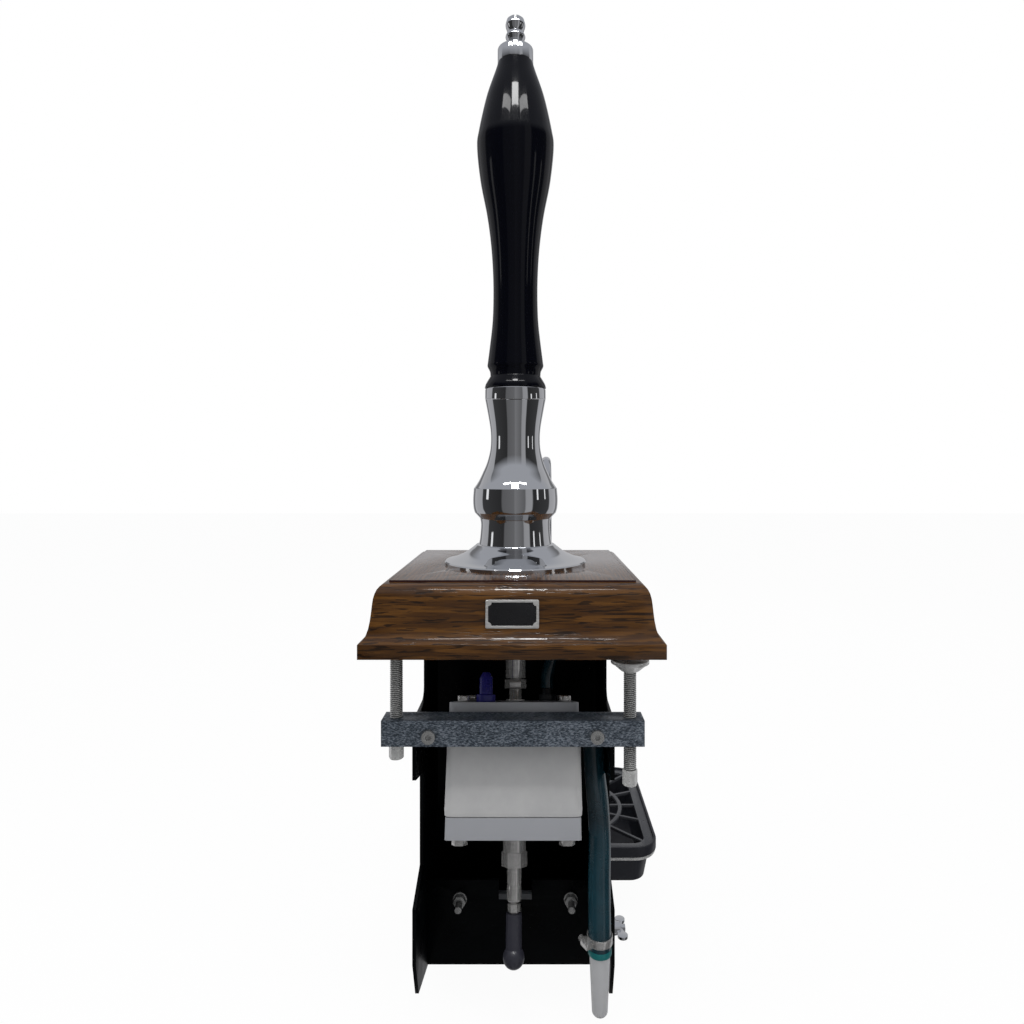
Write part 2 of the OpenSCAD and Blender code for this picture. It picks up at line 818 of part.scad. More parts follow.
// Plastic edging pressed on the foot of the notch
module notch_liner() {
    y0 = foot_plate_y;
    z0 = -foot_plate_top - notch_depth;
    color([0.7, 0.72, 0.74]) difference() {
        block(-notch_w / 2, notch_w / 2, y0 - 1.5, y0 + sheet_t + 1.5, z0 - 3, z0 + 2);
        block(-notch_w, notch_w, y0, y0 + sheet_t, z0 - 4, z0);
    }
}

// Clamp

bar_y = bar_back - bar_side / 2;
bar_bolt_z = -bar_drop - bar_side * 0.6;
thread_clear = 0.06;

module clamp_bar() {
    color(zinc) difference() {
        block(-bar_l / 2, bar_l / 2, bar_back - bar_side, bar_back,
            -bar_drop - bar_side, -bar_drop);
        for (sx = [-1, 1]) {
            translate([sx * clamp_x, bar_y, -bar_drop - bar_side - 1])
                cylinder(d = clamp_d + 2 * thread_clear, h = bar_side + 2);
            translate([sx * bar_bolt_x, bar_back - bar_side - 1, bar_bolt_z])
                along_y(bar_side + 2, 3);
        }
    }
}

module bar_bolts() {
    color(steel) for (sx = [-1, 1]) translate([sx * bar_bolt_x, 0, bar_bolt_z]) {
        translate([0, bar_back - bar_side, 0]) along_y(bar_side + sheet_t + 7, 3);
        translate([0, bar_back - bar_side - 3.4, 0]) difference() {
            along_y(3.4, 5.3);
            translate([0, -1, 0]) rotate([-90, 0, 0]) hex(4, 3);
        }
        translate([0, bar_back + sheet_t, 0]) rotate([-90, 0, 0]) hex(10, 5);
    }
}

// One clamp screw: threaded rod, hexagon end below, neck into the swivel foot above
clamp_hex_af = 10.2;
clamp_hex_h = 12.4;
clamp_neck_h = 5;

module clamp_screw(foot_top) {
    z0 = foot_top - clamp_foot_h + clamp_neck_h - clamp_l;
    color(zinc) {
        translate([0, 0, z0]) hex(clamp_hex_af, clamp_hex_h);
        translate([0, 0, z0 + clamp_hex_h - 2])
            cylinder(d = clamp_d, h = clamp_l - clamp_neck_h - 0.3 - clamp_hex_h + 2);
        translate([0, 0, z0]) cylinder(d = 6, h = clamp_l);
    }
}

module clamp_foot(foot_top) {
    color([0.72, 0.68, 0.55]) translate([0, 0, foot_top - clamp_foot_h]) difference() {
        union() {
            translate([0, 0, clamp_foot_h - 3]) cylinder(d = clamp_foot_d, h = 3);
            cylinder(d1 = clamp_d + 4, d2 = clamp_foot_d - 2, h = clamp_foot_h - 3);
        }
        translate([0, 0, -1]) cylinder(d = 6 + 2 * run_clear, h = 1 + clamp_neck_h + 0.3);
    }
}

module clamp_screw_left() {
    translate([-clamp_x, bar_y, 0]) clamp_screw(left_foot_top);
}

module clamp_screw_right() {
    translate([clamp_x, bar_y, 0]) clamp_screw(right_foot_top);
}

module clamp_foot_left() {
    translate([-clamp_x, bar_y, 0]) clamp_foot(left_foot_top);
}

module clamp_foot_right() {
    translate([clamp_x, bar_y, 0]) clamp_foot(right_foot_top);
}

// Cylinder

module tie_places() {
    for (sx = [-1, 1], sy = [-1, 1]) translate([sx * tie_offset, sy * tie_offset, 0]) children();
}

inlet_boss_x = barrel_r + 8;

module cylinder_barrel() {
    color(acetal) tilted(barrel_s) difference() {
        union() {
            cylinder(r = barrel_r, h = barrel_l, $fn = 96);
            translate([bore_r - 10, inlet_q, inlet_s - barrel_s]) along_x(inlet_boss_x - bore_r + 10, 8);
        }
        translate([0, 0, -1]) cylinder(r = bore_r, h = barrel_l + 2, $fn = 96);
        translate([0, inlet_q, inlet_s - barrel_s]) along_x(inlet_boss_x + 1, 4);
    }
}

module plate_outline(r) {
    rounded(plate_w, plate_w, r);
}

module cylinder_bottom_plate() {
    color(acetal) tilted(ball_to_plate) difference() {
        linear_extrude(height = bottom_plate_t) plate_outline(3);
        translate([0, 0, -1]) cylinder(r = rod_d / 2 + 1.5, h = bottom_plate_t + 2);
        translate([0, 0, -1]) tie_places() cylinder(d = tie_d, h = bottom_plate_t + 2);
    }
}

module cylinder_top_plate() {
    color(acetal) tilted(top_plate_s) difference() {
        linear_extrude(height = top_plate_t) plate_outline(5);
        translate([0, 0, -1]) tie_places() cylinder(d = tie_d, h = top_plate_t + 2);
        translate([neck_x, outlet_q, -1]) cylinder(r = 3.5, h = top_plate_t + 2);
        translate([-24, -40, 2]) cylinder(r = 3, h = top_plate_t);
    }
}

module insulation_jacket() {
    w = 2 * jacket_half;
    color([0.8, 0.81, 0.82]) tilted(barrel_s + 0.3) difference() {
        linear_extrude(height = barrel_l - 0.6) rounded(w, w, 12);
        translate([0, 0, -1]) cylinder(r = barrel_r + 0.3, h = barrel_l + 2);
        translate([0, 0, -1]) tie_places() cylinder(d = tie_d + 0.6, h = barrel_l + 2);
        translate([0, inlet_q, inlet_s - barrel_s - 0.3]) along_x(jacket_half + 1, 8.3);
    }
}

module tie_bolts() {
    h = top_s - ball_to_plate;
    color(steel) tilted(ball_to_plate) tie_places() {
        translate([0, 0, -5]) cylinder(d = tie_d, h = h + 5);
        translate([0, 0, -5]) hex(11, 5);
        translate([0, 0, h]) difference() {
            cylinder(d = 10, h = 5);
            translate([0, 0, 2.5]) hex(5, 4);
        }
    }
}

module gland_body() {
    color(steel) tilted(ball_to_plate - gland_l) tube(gland_r, rod_d / 2 + 1.2, gland_l);
}

module gland_nut() {
    color(steel) tilted(ball_to_plate - gland_l - gland_nut_h) difference() {
        hex(gland_nut_af, gland_nut_h);
        translate([0, 0, -1]) cylinder(r = rod_d / 2 + 0.08, h = gland_nut_h + 2);
    }
}

module drive_stud() {
    color(steel) tilted(top_s) {
        cylinder(r = stud_disc_r, h = stud_disc_h);
        translate([0, 0, stud_disc_h]) hex(stud_hex_af, stud_hex_h);
        cylinder(d = 10, h = sleeve_s - top_s + 14);
    }
}

module drive_lock_nut() {
    color(steel) tilted(drive_nut_s) difference() {
        hex(drive_nut_af, drive_nut_h);
        translate([0, 0, -1]) cylinder(d = 10, h = drive_nut_h + 2);
    }
}

module drive_clevis() {
    fork_s = fork_base_s - 12;
    color(steel) tilted() difference() {
        union() {
            translate([0, 0, sleeve_s]) cylinder(r = sleeve_r, h = fork_base_s - sleeve_s);
            block(-fork_half, fork_half, -ear_reach, ear_reach, fork_s, pin_s);
            translate([-fork_half, 0, pin_s]) along_x(2 * fork_half, ear_reach);
        }
        block(-ear_gap, ear_gap, -20, 20, fork_base_s, pin_s + 20);
        translate([-20, 0, pin_s]) along_x(40, clevis_pin_d / 2);
        translate([0, 0, sleeve_s - 1]) cylinder(d = 10, h = 15);
    }
}

module clevis_pin() {
    color(steel) tilted(pin_s) {
        translate([-fork_half - 1.5, 0, 0]) along_x(2 * fork_half + 3, clevis_pin_d / 2);
        translate([-fork_half - 2.5, 0, 0]) along_x(2.5, clevis_pin_d / 2 + 2);
        translate([fork_half, 0, 0]) along_x(1, clevis_pin_d / 2 + 2);
    }
}

module port_cap() {
    color([0.12, 0.11, 0.4]) tilted(top_s) translate([-24, -40, 0]) {
        cylinder(r = 8, h = 6);
        cylinder(r = 5.6, h = 19);
        translate([0, 0, 19]) cylinder(r1 = 5.6, r2 = 2.8, h = 5);
        translate([0, 0, -6]) cylinder(r = 3, h = 7);
    }
}

// Elbow: out of the barrel's side, then down into the hose
module inlet_elbow() {
    start_x = inlet_boss_x;
    drop = 12;
    color([0.15, 0.16, 0.17]) tilted(inlet_s) translate([0, inlet_q, 0]) difference() {
        union() {
            translate([start_x, 0, 0]) along_x(elbow_x - start_x, 6);
            translate([elbow_x, 0, 0]) sphere(r = 6);
            translate([elbow_x, 0, -drop]) cylinder(r = 6, h = drop);
        }
        translate([start_x - 1, 0, 0]) along_x(elbow_x - start_x + 1, 3.6);
        translate([elbow_x, 0, -drop - 1]) cylinder(r = 3.6, h = drop + 1);
    }
}

module outlet_elbow() {
    color([0.15, 0.16, 0.17]) tilted(top_s) translate([neck_x, outlet_q, 0]) {
        tube(8, 3.5, 6);
        translate([0, 0, 6]) tube(5, 3.5, 5);
    }
}

module outlet_hose() {
    color([0.75, 0.77, 0.78]) swept(outlet_route, outlet_d, 10);
}

// Piston and rod: they stand still on the ball joint while the cylinder moves

groove_w = 4;
groove_depth = 3;
groove_places = [6, piston_h - 6 - groove_w];

module piston() {
    r = bore_r - piston_clear;
    color(acetal) tilted(piston_s) difference() {
        cylinder(r = r, h = piston_h, $fn = 96);
        translate([0, 0, -1]) cylinder(d = rod_d, h = piston_h - 3);
        for (z = groove_places) translate([0, 0, z]) tube(r + 1, r - groove_depth, groove_w);
    }
}

module piston_seals() {
    r = bore_r - piston_clear;
    color([0.1, 0.1, 0.1]) tilted(piston_s) for (z = groove_places)
        translate([0, 0, z]) tube(r + 0.03, r - groove_depth, groove_w);
}

module piston_rod() {
    end_s = piston_s + piston_h - 4;
    color(steel) tilted() {
        translate([0, 0, 20]) cylinder(d = 6, h = rod_s - 20);
        difference() {
            union() {
                translate([0, 0, rod_s]) cylinder(r1 = rod_d / 2 - 1, r2 = rod_d / 2, h = 1);
                translate([0, 0, rod_s + 1]) cylinder(d = rod_d, h = end_s - rod_s - 1);
            }
            translate([0, 0, rod_s + 12]) tube(rod_d, rod_d / 2 - 0.4, 0.8);
        }
    }
}

module rod_lock_nut() {
    color(steel) tilted(lock_nut_s) difference() {
        hex(9, lock_nut_h);
        translate([0, 0, -1]) cylinder(d = 6, h = lock_nut_h + 2);
    }
}

module rod_end() {
    color([0.2, 0.2, 0.23]) difference() {
        tilted() {
            sphere(d = rod_end_d);
            cylinder(d = 13, h = lock_nut_s - 1);
        }
        translate([0, ball_y, ball_z]) sphere(d = stud_ball_d + 0.1);
        translate([0, ball_y, ball_z]) along_y(20, stud_ball_d / 2 - 0.8);
        tilted(20) cylinder(d = 6, h = 20);
    }
}

module ball_stud() {
    plate_front = foot_plate_y - ball_y;
    color(steel) translate([0, ball_y, ball_z]) {
        sphere(d = stud_ball_d);
        along_y(plate_front, 3);
        translate([0, 12, 0]) along_y(plate_front - 12, 6);
        along_y(plate_front + sheet_t + 9, 4);
        translate([0, plate_front + sheet_t, 0]) rotate([-90, 0, 0]) hex(13, 6.5);
    }
}

// Inlet hose and what is on its end

hose_end = hose_route[len(hose_route) - 1];

module inlet_hose() {
    color(teal) swept(hose_route, hose_d, hose_sides);
}

module hose_clip() {
    r = hose_d / 2 + 0.3;
    color(steel) translate([hose_end[0], hose_end[1], hose_end[2] + 4]) {
        tube(r + 0.9, r, 6);
        rotate([0, 0, -60]) translate([0, -r - 3.4, 3]) {
            cube([9, 5.6, 5], center = true);
            translate([-8, 0, 0]) along_x(5, 2.4);
        }
    }
}

ring_h = 5;

module hose_ring() {
    color([0, 0.42, 0.42]) translate([hose_end[0], hose_end[1], hose_end[2] - ring_h])
        tube(hose_d / 2 + 0.4, 6, ring_h);
}

module inlet_tail() {
    top_r = hose_d / 2 - 0.8;
    end_r = 6.2;
    color([0.75, 0.75, 0.74]) translate([hose_end[0], hose_end[1], hose_end[2] - ring_h - tail_l])
        difference() {
            union() {
                translate([0, 0, 2]) cylinder(r1 = end_r, r2 = top_r, h = tail_l - 2);
                cylinder(r1 = end_r - 1.4, r2 = end_r, h = 2);
                translate([0, 0, tail_l]) cylinder(r = 6, h = ring_h);
            }
            translate([0, 0, -1]) cylinder(r = 4.8, h = tail_l + ring_h + 2);
        }
}

// Swan neck

neck_r = neck_d / 2;
neck_bore_r = neck_r - 1.3;
bend_z = neck_top - neck_r - neck_bend_r;
spout_y = neck_y + 2 * neck_bend_r;
nozzle_h = 24;
sparkler_h = 20;
nozzle_z = spout_end + sparkler_h - 6;
neck_foot = 4;

module neck_line(r) {
    translate([neck_x, neck_y, neck_foot]) cylinder(r = r, h = bend_z - neck_foot);
    translate([neck_x, neck_y + neck_bend_r, bend_z]) rotate([90, 0, 90])
        rotate_extrude(angle = 180) translate([neck_bend_r, 0]) circle(r = r);
    translate([neck_x, spout_y, nozzle_z + 6]) cylinder(r = r, h = bend_z - nozzle_z - 6);
}

module swan_neck() {
    color(chrome) difference() {
        neck_line(neck_r);
        neck_line(neck_bore_r);
        translate([neck_x, neck_y, neck_foot - 1]) cylinder(r = neck_bore_r, h = 3);
        translate([neck_x, spout_y, nozzle_z + 5]) cylinder(r = neck_bore_r, h = 3);
    }
}

module neck_nuts() {
    color(chrome) translate([neck_x, neck_y, 0]) difference() {
        union() {
            translate([0, 0, plinth_h]) cylinder(r = 9, h = 2.5);
            translate([0, 0, plinth_h + 2.5]) hex(14, 7);
            translate([0, 0, board_z - 7]) hex(16, 7);
        }
        translate([0, 0, board_z - 8]) cylinder(d = neck_d + 0.06, h = 50);
    }
}

module spout_nozzle() {
    color(chrome) translate([neck_x, spout_y, nozzle_z]) difference() {
        union() {
            cylinder(r = 6, h = nozzle_h);
            translate([0, 0, 8]) cylinder(r = 7.4, h = nozzle_h - 12);
        }
        translate([0, 0, 6]) cylinder(r = neck_r + 0.03, h = nozzle_h);
        translate([0, 0, -1]) cylinder(r = neck_bore_r, h = 8);
    }
}

module sparkler() {
    color([0.92, 0.92, 0.9]) translate([neck_x, spout_y, spout_end]) difference() {
        union() {
            translate([0, 0, 4]) cylinder(r = 9, h = sparkler_h - 4);
            cylinder(r1 = 6, r2 = 9, h = 4);
        }
        translate([0, 0, 3]) cylinder(r = 6.08, h = sparkler_h);
        for (a = [0 : 60 : 300]) rotate([0, 0, a]) translate([3.6, 0, -1]) cylinder(r = 0.8, h = 6);
    }
}

// Drip tray on its bracket

bracket_clear = 0.3;
plate_x = wall_out + bracket_clear;
plate_y = body_back_y + bracket_clear;
bracket_z = wing_z - 13;
bracket_h = 28;
wire_off = rim_over - wire_d / 2 - 0.2;

module wire_corner(turn, x, y) {
    r = tray_corner_r - rim_over + wire_d / 2 + 0.2;
    translate([x, y, 0]) rotate([0, 0, turn])
        rotate_extrude(angle = 90) translate([r, 0]) circle(d = wire_d, $fn = 24);
}

module wire_loop() {
    w = tray_w / 2 - rim_over + wire_d / 2 + 0.2;
    d = tray_depth / 2 - rim_over + wire_d / 2 + 0.2;
    cx = tray_w / 2 - tray_corner_r;
    cy = tray_depth / 2 - tray_corner_r;
    for (sx = [-1, 1]) {
        translate([sx * w, -cy, 0]) rotate([-90, 0, 0]) cylinder(d = wire_d, h = 2 * cy, $fn = 24);
        translate([-cx, sx * d, 0]) rotate([0, 90, 0]) cylinder(d = wire_d, h = 2 * cx, $fn = 24);
    }
    wire_corner(0, cx, cy);
    wire_corner(90, -cx, cy);
    wire_corner(180, -cx, -cy);
    wire_corner(270, cx, -cy);
}

module tray_bracket() {
    wire_z = rim_z - rim_h - wire_d / 2;
    color(zinc) difference() {
        union() {
            block(plate_x, plate_x + sheet_t, wing_y - 14, plate_y + sheet_t,
                bracket_z, bracket_z + bracket_h);
            block(-20, plate_x + sheet_t, plate_y, plate_y + sheet_t, bracket_z, bracket_z + bracket_h);
            translate([tray_x, tray_y, wire_z]) wire_loop();
            for (x = [10, 60]) translate([x, plate_y + 1, wire_z])
                along_y(tray_y - tray_depth / 2 + rim_over - plate_y - 3, wire_d / 2);
        }
        translate([wall_in, wing_y, wing_z]) along_x(20, wing_d / 2 + run_clear);
    }
}

// Wing screw with the square nut that it draws against the inside of the wall
module tray_wing_screw() {
    x0 = wall_in - bracket_clear - 5;
    shank = plate_x + sheet_t + 12 - x0 + 3;
    color(chrome) translate([0, wing_y, wing_z]) {
        translate([x0 - 3, 0, 0]) along_x(shank, wing_d / 2);
        translate([x0, 0, 0]) rotate([0, 90, 0]) hex(13, 5);
        translate([plate_x + sheet_t + 0.1, 0, 0]) rotate([0, 90, 0])
            cylinder(r1 = 6.5, r2 = 5, h = 8);
        for (sz = [-1, 1]) rotate([sz * 90, 0, 0])
            translate([plate_x + sheet_t + 3, 0, 3]) rotate([0, 18, 0])
                rotate([90, 0, 0]) translate([0, 0, -1.2]) linear_extrude(height = 2.4)
                    union() {
                        square([6, 9]);
                        translate([3, 9]) circle(r = 4.4);
                    }
    }
}

module tray_form(w, d, r, h, draft) {
    hull() {
        linear_extrude(height = 0.01) rounded(w - 2 * draft, d - 2 * draft, r - draft / 2, $fn = 32);
        translate([0, 0, h - 0.01]) linear_extrude(height = 0.01) rounded(w, d, r, $fn = 32);
    }
}

module drip_tray() {
    w = tray_w - 2 * rim_over;
    d = tray_depth - 2 * rim_over;
    r = tray_corner_r - rim_over;
    color([0.08, 0.085, 0.09]) translate([tray_x, tray_y, rim_z - tray_h]) difference() {
        union() {
            tray_form(w, d, r, tray_h, tray_draft);
            translate([0, 0, tray_h - rim_h]) linear_extrude(height = rim_h)
                rounded(tray_w, tray_depth, tray_corner_r);
        }
        translate([0, 0, tray_wall])
            tray_form(w - 2 * tray_wall, d - 2 * tray_wall, r - tray_wall, tray_h, tray_draft);
        translate([0, 0, tray_h - grille_drop - grille_t])
            linear_extrude(height = grille_drop + grille_t + 1)
                rounded(tray_w - 2 * tray_wall, tray_depth - 2 * tray_wall, tray_corner_r - tray_wall);
    }
}

module grille_border(gap) {
    rounded(tray_w - 2 * tray_wall - 2 * gap, tray_depth - 2 * tray_wall - 2 * gap,
        tray_corner_r - tray_wall - gap);
}

module tray_grille() {
    border_w = 10;
    ring_r = 64;
    ring_w = 4;
    hub_r = 9;
    spoke_w = 2.6;
    color([0.3, 0.31, 0.33]) translate([tray_x, tray_y, rim_z - grille_drop - grille_t])
        linear_extrude(height = grille_t) {
            difference() {
                grille_border(slip_clear);
                grille_border(border_w);
            }
            difference() {
                circle(r = ring_r);
                circle(r = ring_r - ring_w);
            }
            circle(r = hub_r);
            intersection() {
                grille_border(border_w - 1);
                for (i = [0 : spoke_count - 1]) rotate(360 * i / spoke_count)
                    translate([0, -spoke_w / 2]) square([tray_w, spoke_w]);
            }
        }
}

plinth_top_board();
plinth_front_rail();
plinth_rear_rail();
plinth_left_rail();
plinth_right_rail();
badge_rim();
badge_panel();
column_vase();
plinth_screws();
handle_ferrule();
handle_grip();
handle_tie_rod();
finial_collar();
lever();
pivot_bushes();
pivot_pin();
pivot_bracket();
body_channel();
foot_plate();
foot_plate_bolts();
notch_liner();
clamp_bar();
bar_bolts();
clamp_screw_left();
clamp_screw_right();
clamp_foot_left();
clamp_foot_right();
cylinder_barrel();
cylinder_top_plate();
cylinder_bottom_plate();
insulation_jacket();
tie_bolts();
gland_body();
gland_nut();
drive_stud();
drive_lock_nut();
drive_clevis();
clevis_pin();
port_cap();
inlet_elbow();
outlet_elbow();
outlet_hose();
piston();
piston_seals();
piston_rod();
rod_lock_nut();
rod_end();
ball_stud();
inlet_hose();
hose_clip();
hose_ring();
inlet_tail();
swan_neck();
neck_nuts();
spout_nozzle();
sparkler();
tray_bracket();
tray_wing_screw();
drip_tray();
tray_grille();
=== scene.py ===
from math import cos, pi, radians, sin

import bmesh
import bpy
from mathutils import Matrix, Vector


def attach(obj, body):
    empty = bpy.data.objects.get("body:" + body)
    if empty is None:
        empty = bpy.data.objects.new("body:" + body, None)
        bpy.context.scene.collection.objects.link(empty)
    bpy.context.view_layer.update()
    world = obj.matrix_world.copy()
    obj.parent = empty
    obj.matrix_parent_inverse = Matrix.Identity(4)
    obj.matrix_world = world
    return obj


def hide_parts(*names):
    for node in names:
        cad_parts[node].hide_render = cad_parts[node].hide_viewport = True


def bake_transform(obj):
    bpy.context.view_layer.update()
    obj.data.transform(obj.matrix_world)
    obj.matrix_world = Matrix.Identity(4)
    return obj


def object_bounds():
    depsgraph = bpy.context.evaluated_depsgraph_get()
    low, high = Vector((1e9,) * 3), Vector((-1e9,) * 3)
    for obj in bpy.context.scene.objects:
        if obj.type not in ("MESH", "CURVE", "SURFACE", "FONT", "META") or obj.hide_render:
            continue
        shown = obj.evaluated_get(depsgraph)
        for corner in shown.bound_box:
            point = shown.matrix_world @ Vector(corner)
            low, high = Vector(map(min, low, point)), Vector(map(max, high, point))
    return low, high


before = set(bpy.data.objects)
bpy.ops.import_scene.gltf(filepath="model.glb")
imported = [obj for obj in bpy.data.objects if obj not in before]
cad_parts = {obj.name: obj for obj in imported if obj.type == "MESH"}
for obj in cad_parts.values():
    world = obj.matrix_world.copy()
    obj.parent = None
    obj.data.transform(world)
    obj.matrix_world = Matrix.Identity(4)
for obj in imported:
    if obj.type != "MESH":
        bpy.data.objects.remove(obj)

cad_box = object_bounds()

# Camera and studio.
# The photograph is taken from the customer's side, level with the top of the vase's waist, about
# 0.62 m in front of the handle, on a plain white ground with a window to each side.
MM = 0.001
camera_place = Vector((14.2, -624, 143.3)) * MM
camera_data = bpy.data.cameras.new("camera")
camera_data.lens = 24.4
camera_data.sensor_width = 36
camera_data.shift_x = -0.0188
camera_data.shift_y = -0.0459
camera_data.clip_start = 0.01
camera = bpy.data.objects.new("camera", camera_data)
camera.location = camera_place
camera.rotation_euler = (radians(90), 0, 0)
bpy.context.scene.collection.objects.link(camera)
bpy.context.scene.camera = camera
bpy.context.scene.view_settings.view_transform = "Standard"


def soft_light(name, place, aim, size, power, glossy=True):
    data = bpy.data.lights.new(name, "AREA")
    data.shape = "RECTANGLE"
    data.size, data.size_y = size
    data.energy = power
    lamp = bpy.data.objects.new(name, data)
    lamp.location = place
    lamp.rotation_euler = (Vector(aim) - Vector(place)).to_track_quat("-Z", "Y").to_euler()
    lamp.visible_glossy = glossy
    bpy.context.scene.collection.objects.link(lamp)


soft_light("ceiling", (0.0, -0.60, 1.32), (0, 0, 0.1), (0.30, 0.2), 5.5)
for side in (-1, 1):
    soft_light("ceiling_side", (side * 0.40, -0.60, 1.32), (0, 0, 0.1), (0.42, 0.09), 1.4)
soft_light("window_left", (-1.35, -0.55, 0.5), (0, 0, 0.1), (0.22, 1.2), 6, glossy=False)
soft_light("window_right", (1.3, -0.75, 0.45), (0, 0, 0), (0.22, 1.1), 5.5, glossy=False)
soft_light("back_fill", (0.2, 1.6, 0.9), (0, 0, 0), (1.6, 1.0), 6, glossy=False)

# The world is white to the camera and through clear parts. Reflections see a plain room: grey
# walls with a darker strip to each side behind the pump, a pale ceiling, and a dark front with
# grey walls and windows to each side.
world = bpy.data.worlds.new("studio")
bpy.context.scene.world = world
world.use_nodes = True
tree = world.node_tree
tree.nodes.clear()


# A socket takes either a plain value or another node's output.
def plug(tree, socket, value):
    if hasattr(value, "is_output"):
        tree.links.new(value, socket)
    else:
        socket.default_value = value


def put(tree, kind, **inputs):
    node = tree.nodes.new("ShaderNode" + kind)
    for socket, value in inputs.items():
        plug(tree, node.inputs[socket.replace("_", " ")], value)
    return node


def maths(tree, operation, *values):
    node = put(tree, "Math")
    node.operation = operation
    for socket, value in zip(node.inputs, values):
        plug(tree, socket, value)
    return node.outputs[0]


def between(tree, value, low, high, out_low=0.0, out_high=1.0):
    node = put(tree, "MapRange", Value=value, From_Min=low, From_Max=high)
    node.inputs["To Min"].default_value = out_low
    node.inputs["To Max"].default_value = out_high
    return node.outputs[0]


def colour_mix(tree, factor, first, second, blend="MIX"):
    node = put(tree, "Mix")
    node.data_type = "RGBA"
    node.blend_type = blend
    for socket, value in (("Factor", factor), ("A", first), ("B", second)):
        plug(tree, node.inputs[socket], (*value, 1) if isinstance(value, tuple) else value)
    return node.outputs["Result"]


way = put(tree, "TexCoord")
split = put(tree, "SeparateXYZ", Vector=way.outputs["Generated"])
height = split.outputs["Z"]
bearing = maths(tree, "ARCTAN2", split.outputs["X"], maths(tree, "MULTIPLY", split.outputs["Y"], -1.0))
walls = put(tree, "ValToRGB", Fac=maths(tree, "MULTIPLY_ADD", bearing, 1 / (2 * pi), 0.5))
# Bearings in degrees, from the camera's side round to the right, with the grey of the wall there
wall_stops = [
    (-180, 0.5), (-158, 0.5), (-155, 0.18), (-142, 0.2), (-139, 0.5), (-126, 0.45), (-100, 0.42),
    (-97, 0.05), (-38, 0.03), (-34, 0.13), (-3, 0.16), (0, 0.22), (27, 0.14), (30, 0.34),
    (47, 0.36), (50, 0.03), (103, 0.05), (107, 0.42), (126, 0.45), (139, 0.5), (142, 0.2),
    (155, 0.18), (158, 0.5), (180, 0.5)
]
WALL_BLUE = 1.03
for index, (degrees, grey) in enumerate(wall_stops):
    place = 0.5 + degrees / 360
    stops = walls.color_ramp.elements
    stop = stops[index] if index < 2 else stops.new(place)
    stop.position = place
    stop.color = (grey, grey, grey * WALL_BLUE, 1)

# Window panes: the bearings of their edges in degrees, and how bright they are. Heights are the
# upward part of the direction, from 0 at the horizon to 1 overhead.
PANE_TOP, PANE_BLUR, PANE_SIDE_BLUR = 0.24, 0.02, 0.6
CEILING_START, CEILING_FULL = 0.46, 0.68
pane_height = maths(tree, "MULTIPLY", between(tree, height, 0.0, PANE_BLUR),
                    between(tree, height, PANE_TOP, PANE_TOP - PANE_BLUR))
panes = 0.0
for left, right, shine in ((-84, -76, 1.6), (61, 66, 1.5), (86, 90, 1.2)):
    from_left = between(tree, bearing, radians(left), radians(left + PANE_SIDE_BLUR))
    from_right = between(tree, bearing, radians(right), radians(right - PANE_SIDE_BLUR))
    inside = maths(tree, "MULTIPLY", from_left, from_right)
    panes = maths(tree, "MULTIPLY_ADD", inside, shine, panes)
panes = maths(tree, "MULTIPLY", panes, pane_height)
white = (1, 1, 1)
ceiling_grey = (0.40, 0.41, 0.44)
world_grey = (0.56, 0.57, 0.59)
overhead = between(tree, height, CEILING_START, CEILING_FULL)
room = colour_mix(tree, overhead, walls.outputs[0], ceiling_grey)
room = colour_mix(tree, panes, room, white)
ray = put(tree, "LightPath").outputs
lit = colour_mix(tree, ray["Is Glossy Ray"], world_grey, room)
seen = maths(tree, "MAXIMUM", ray["Is Camera Ray"], ray["Is Transmission Ray"])
sky = put(tree, "Background", Color=colour_mix(tree, seen, lit, white))
put(tree, "OutputWorld", Surface=sky.outputs[0])

# The floor lies just under the body. It is nearly white to the camera, and not seen in polish.
FLOOR_GAP = 12 * MM
floor_mesh = bmesh.new()
bmesh.ops.create_grid(floor_mesh, x_segments=1, y_segments=1, size=6)
bmesh.ops.translate(floor_mesh, verts=floor_mesh.verts, vec=(0, 0, cad_box[0][2] - FLOOR_GAP))
floor_data = bpy.data.meshes.new("floor")
floor_mesh.to_mesh(floor_data)
floor_mesh.free()
floor = bpy.data.objects.new("floor", floor_data)
bpy.context.scene.collection.objects.link(floor)
floor_look = bpy.data.materials.new("floor")
floor_look.use_nodes = True
tree = floor_look.node_tree
paint = tree.nodes["Principled BSDF"]
paint.inputs["Base Color"].default_value = (0.84, 0.84, 0.84, 1)
paint.inputs["Roughness"].default_value = 0.9
glow = put(tree, "Emission", Color=(1, 1, 1, 1))
ray = put(tree, "LightPath").outputs
to_camera = maths(tree, "MULTIPLY", ray["Is Camera Ray"], 0.96)
blend = put(tree, "MixShader")
tree.links.new(to_camera, blend.inputs[0])
tree.links.new(paint.outputs[0], blend.inputs[1])
tree.links.new(glow.outputs[0], blend.inputs[2])
tree.links.new(blend.outputs[0], tree.nodes["Material Output"].inputs[0])
floor_data.materials.append(floor_look)
floor.visible_glossy = False

# Inlet hose, a free hose that hangs from the elbow on the cylinder's right side.
# It is 18 mm dark blue-green beer hose, about 0.15 m long, pushed on the elbow's barb above and
# on a tail below.
hose_diameter = 18 * MM


def metres(points):
    return [tuple(value * MM for value in point) for point in points]


# A smooth curve through the given points, which it passes in turn
def smooth(stations, steps):
    points = []
    for i in range(len(stations) - 1):
        a, b, c, d = (stations[min(max(i + k, 0), len(stations) - 1)] for k in (-1, 0, 1, 2))
        for step in range(steps):
            t = step / steps
            points.append(tuple(
                0.5 * (2 * q + (r - p) * t + (2 * p - 5 * q + 4 * r - s) * t * t
                       + (3 * q - p - 3 * r + s) * t ** 3)
                for p, q, r, s in zip(a, b, c, d)
            ))
    return points + [stations[-1]]


